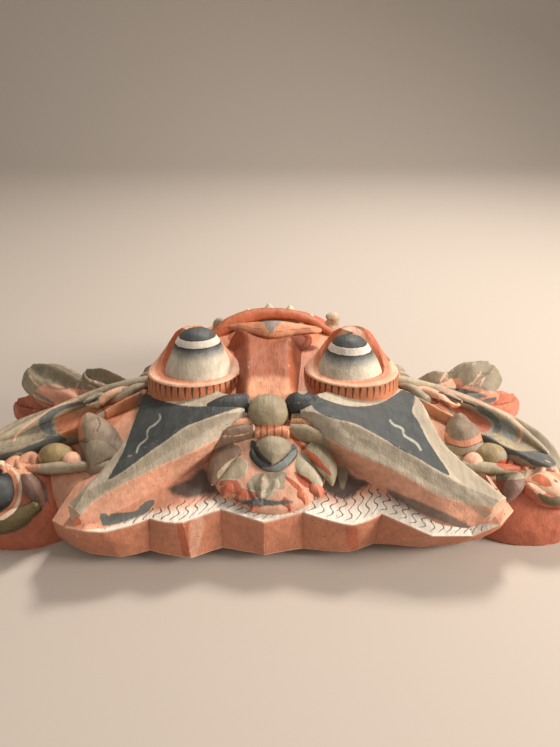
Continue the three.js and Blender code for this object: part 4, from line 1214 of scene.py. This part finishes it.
class MASK_OT_stage(bpy.types.Operator):
    """Floor, soft studio light and the camera at the photograph's angle"""
    bl_idname = "mask.stage"
    bl_label = "Stage"

    def execute(self, context):
        settings = context.scene.mask_settings
        plan = bmesh.new()
        bmesh.ops.create_grid(plan, x_segments=1, y_segments=120, size=settings.floor_width / 2)
        # behind the mask the floor curves up into a plain backdrop, with a bend of this radius in metres
        bend = 0.6
        for v in plan.verts:
            beyond = v.co.y - settings.backdrop
            turn = min(max(beyond / bend, 0), math.pi / 2)
            if beyond > 0:
                v.co.y = settings.backdrop + bend * math.sin(turn)
                v.co.z = bend * (1 - math.cos(turn)) + max(beyond - bend * math.pi / 2, 0)
        mesh = bpy.data.meshes.new("floor")
        plan.to_mesh(mesh)
        mesh.polygons.foreach_set("use_smooth", [True] * len(mesh.polygons))
        plan.free()
        floor = bpy.data.objects.new("floor", mesh)
        context.scene.collection.objects.link(floor)
        # a plain pale ground that gives the eye nothing but the mask's soft shadow
        matt = bpy.data.materials.new("plain matt floor")
        matt.use_nodes = True
        shader = matt.node_tree.nodes["Principled BSDF"]
        shader.inputs["Base Color"].default_value = (*settings.floor_tone, 1)
        shader.inputs["Roughness"].default_value = 0.85
        mesh.materials.append(matt)
        for name, spot, aim, size, watts, tone in (
                ("key", (0.35, 0.6, 1.1), (0, 0, 0.03), 0.25, 16.5, "#fff6ee"),
                ("side", (1.1, -0.3, 0.5), (0, -0.05, 0.03), 0.35, 19, "#fff4ea"),
                ("fill", (-0.3, -1.0, 1.3), (0, 0, 0.05), 1.4, 3.8, "#fff4ec")):
            lamp = bpy.data.lights.new(name, "AREA")
            lamp.size, lamp.energy, lamp.color = size, watts, linear(tone)[:3]
            holder = bpy.data.objects.new(name, lamp)
            holder.location = spot
            holder.rotation_euler = (Vector(aim) - Vector(spot)).to_track_quat("-Z", "Y").to_euler()
            context.scene.collection.objects.link(holder)
        world = bpy.data.worlds.new("studio")
        world.use_nodes = True
        world.node_tree.nodes["Background"].inputs["Color"].default_value = linear("#f3ece4")
        world.node_tree.nodes["Background"].inputs["Strength"].default_value = 0.4
        context.scene.world = world
        context.scene.view_settings.view_transform = "Standard"
        camera = bpy.data.cameras.new("view")
        camera.sensor_width = 36
        camera.lens = FOCAL / (2 * HALF_FRAME[1]) * 36
        holder = bpy.data.objects.new("view", camera)
        holder.location = (Vector(EYE) - MIDDLE) / 1000
        holder.rotation_euler = (math.pi / 2 - PITCH, 0, 0)
        context.scene.collection.objects.link(holder)
        context.scene.camera = holder
        return {"FINISHED"}


class MASK_OT_face(bpy.types.Operator):
    """The hollow shell of the face, its nose, muzzle, teeth and beard"""
    bl_idname = "mask.face"
    bl_label = "Face"

    def execute(self, context):
        carve_face()
        carve_nose()
        carve_mouth()
        carve_beard()
        return {"FINISHED"}


class MASK_OT_crown(bpy.types.Operator):
    """The crown's lobes, the two brow wings and the jewel"""
    bl_idname = "mask.crown"
    bl_label = "Crown"

    def execute(self, context):
        settings = context.scene.mask_settings
        carve_crown(settings)
        carve_wing(LEFT, settings)
        carve_wing(RIGHT, settings)
        carve_jewel()
        return {"FINISHED"}


class MASK_OT_eyes(bpy.types.Operator):
    """The two eyes with their lash bands"""
    bl_idname = "mask.eyes"
    bl_label = "Eyes"

    def execute(self, context):
        settings = context.scene.mask_settings
        carve_eye(LEFT, settings)
        carve_eye(RIGHT, settings)
        return {"FINISHED"}


class MASK_OT_sides(bpy.types.Operator):
    """Ears, temples, beast heads and cheek flames"""
    bl_idname = "mask.sides"
    bl_label = "Sides"

    def execute(self, context):
        for side in (LEFT, RIGHT):
            carve_ear(side)
            carve_temple(side)
            carve_flames(side)
        return {"FINISHED"}


STEPS = (MASK_OT_stage, MASK_OT_face, MASK_OT_crown, MASK_OT_eyes, MASK_OT_sides)


class MASK_PT_panel(bpy.types.Panel):
    bl_idname = "MASK_PT_panel"
    bl_label = "Barong mask"
    bl_space_type = "VIEW_3D"
    bl_region_type = "UI"
    bl_category = "Barong mask"

    def draw(self, context):
        settings = context.scene.mask_settings
        for name in MaskSettings.__annotations__:
            self.layout.prop(settings, name)
        for step in STEPS:
            self.layout.operator(step.bl_idname)


CLASSES = (MaskSettings, *STEPS, MASK_PT_panel)


def register():
    for kind in CLASSES:
        bpy.utils.register_class(kind)
    bpy.types.Scene.mask_settings = bpy.props.PointerProperty(type=MaskSettings)


def unregister():
    del bpy.types.Scene.mask_settings
    for kind in reversed(CLASSES):
        bpy.utils.unregister_class(kind)


def main():
    """Makes the whole mask and its stage."""
    register()
    for step in STEPS:
        group, action = step.bl_idname.split(".")
        getattr(getattr(bpy.ops, group), action)()


if __name__ == "__main__":
    main()
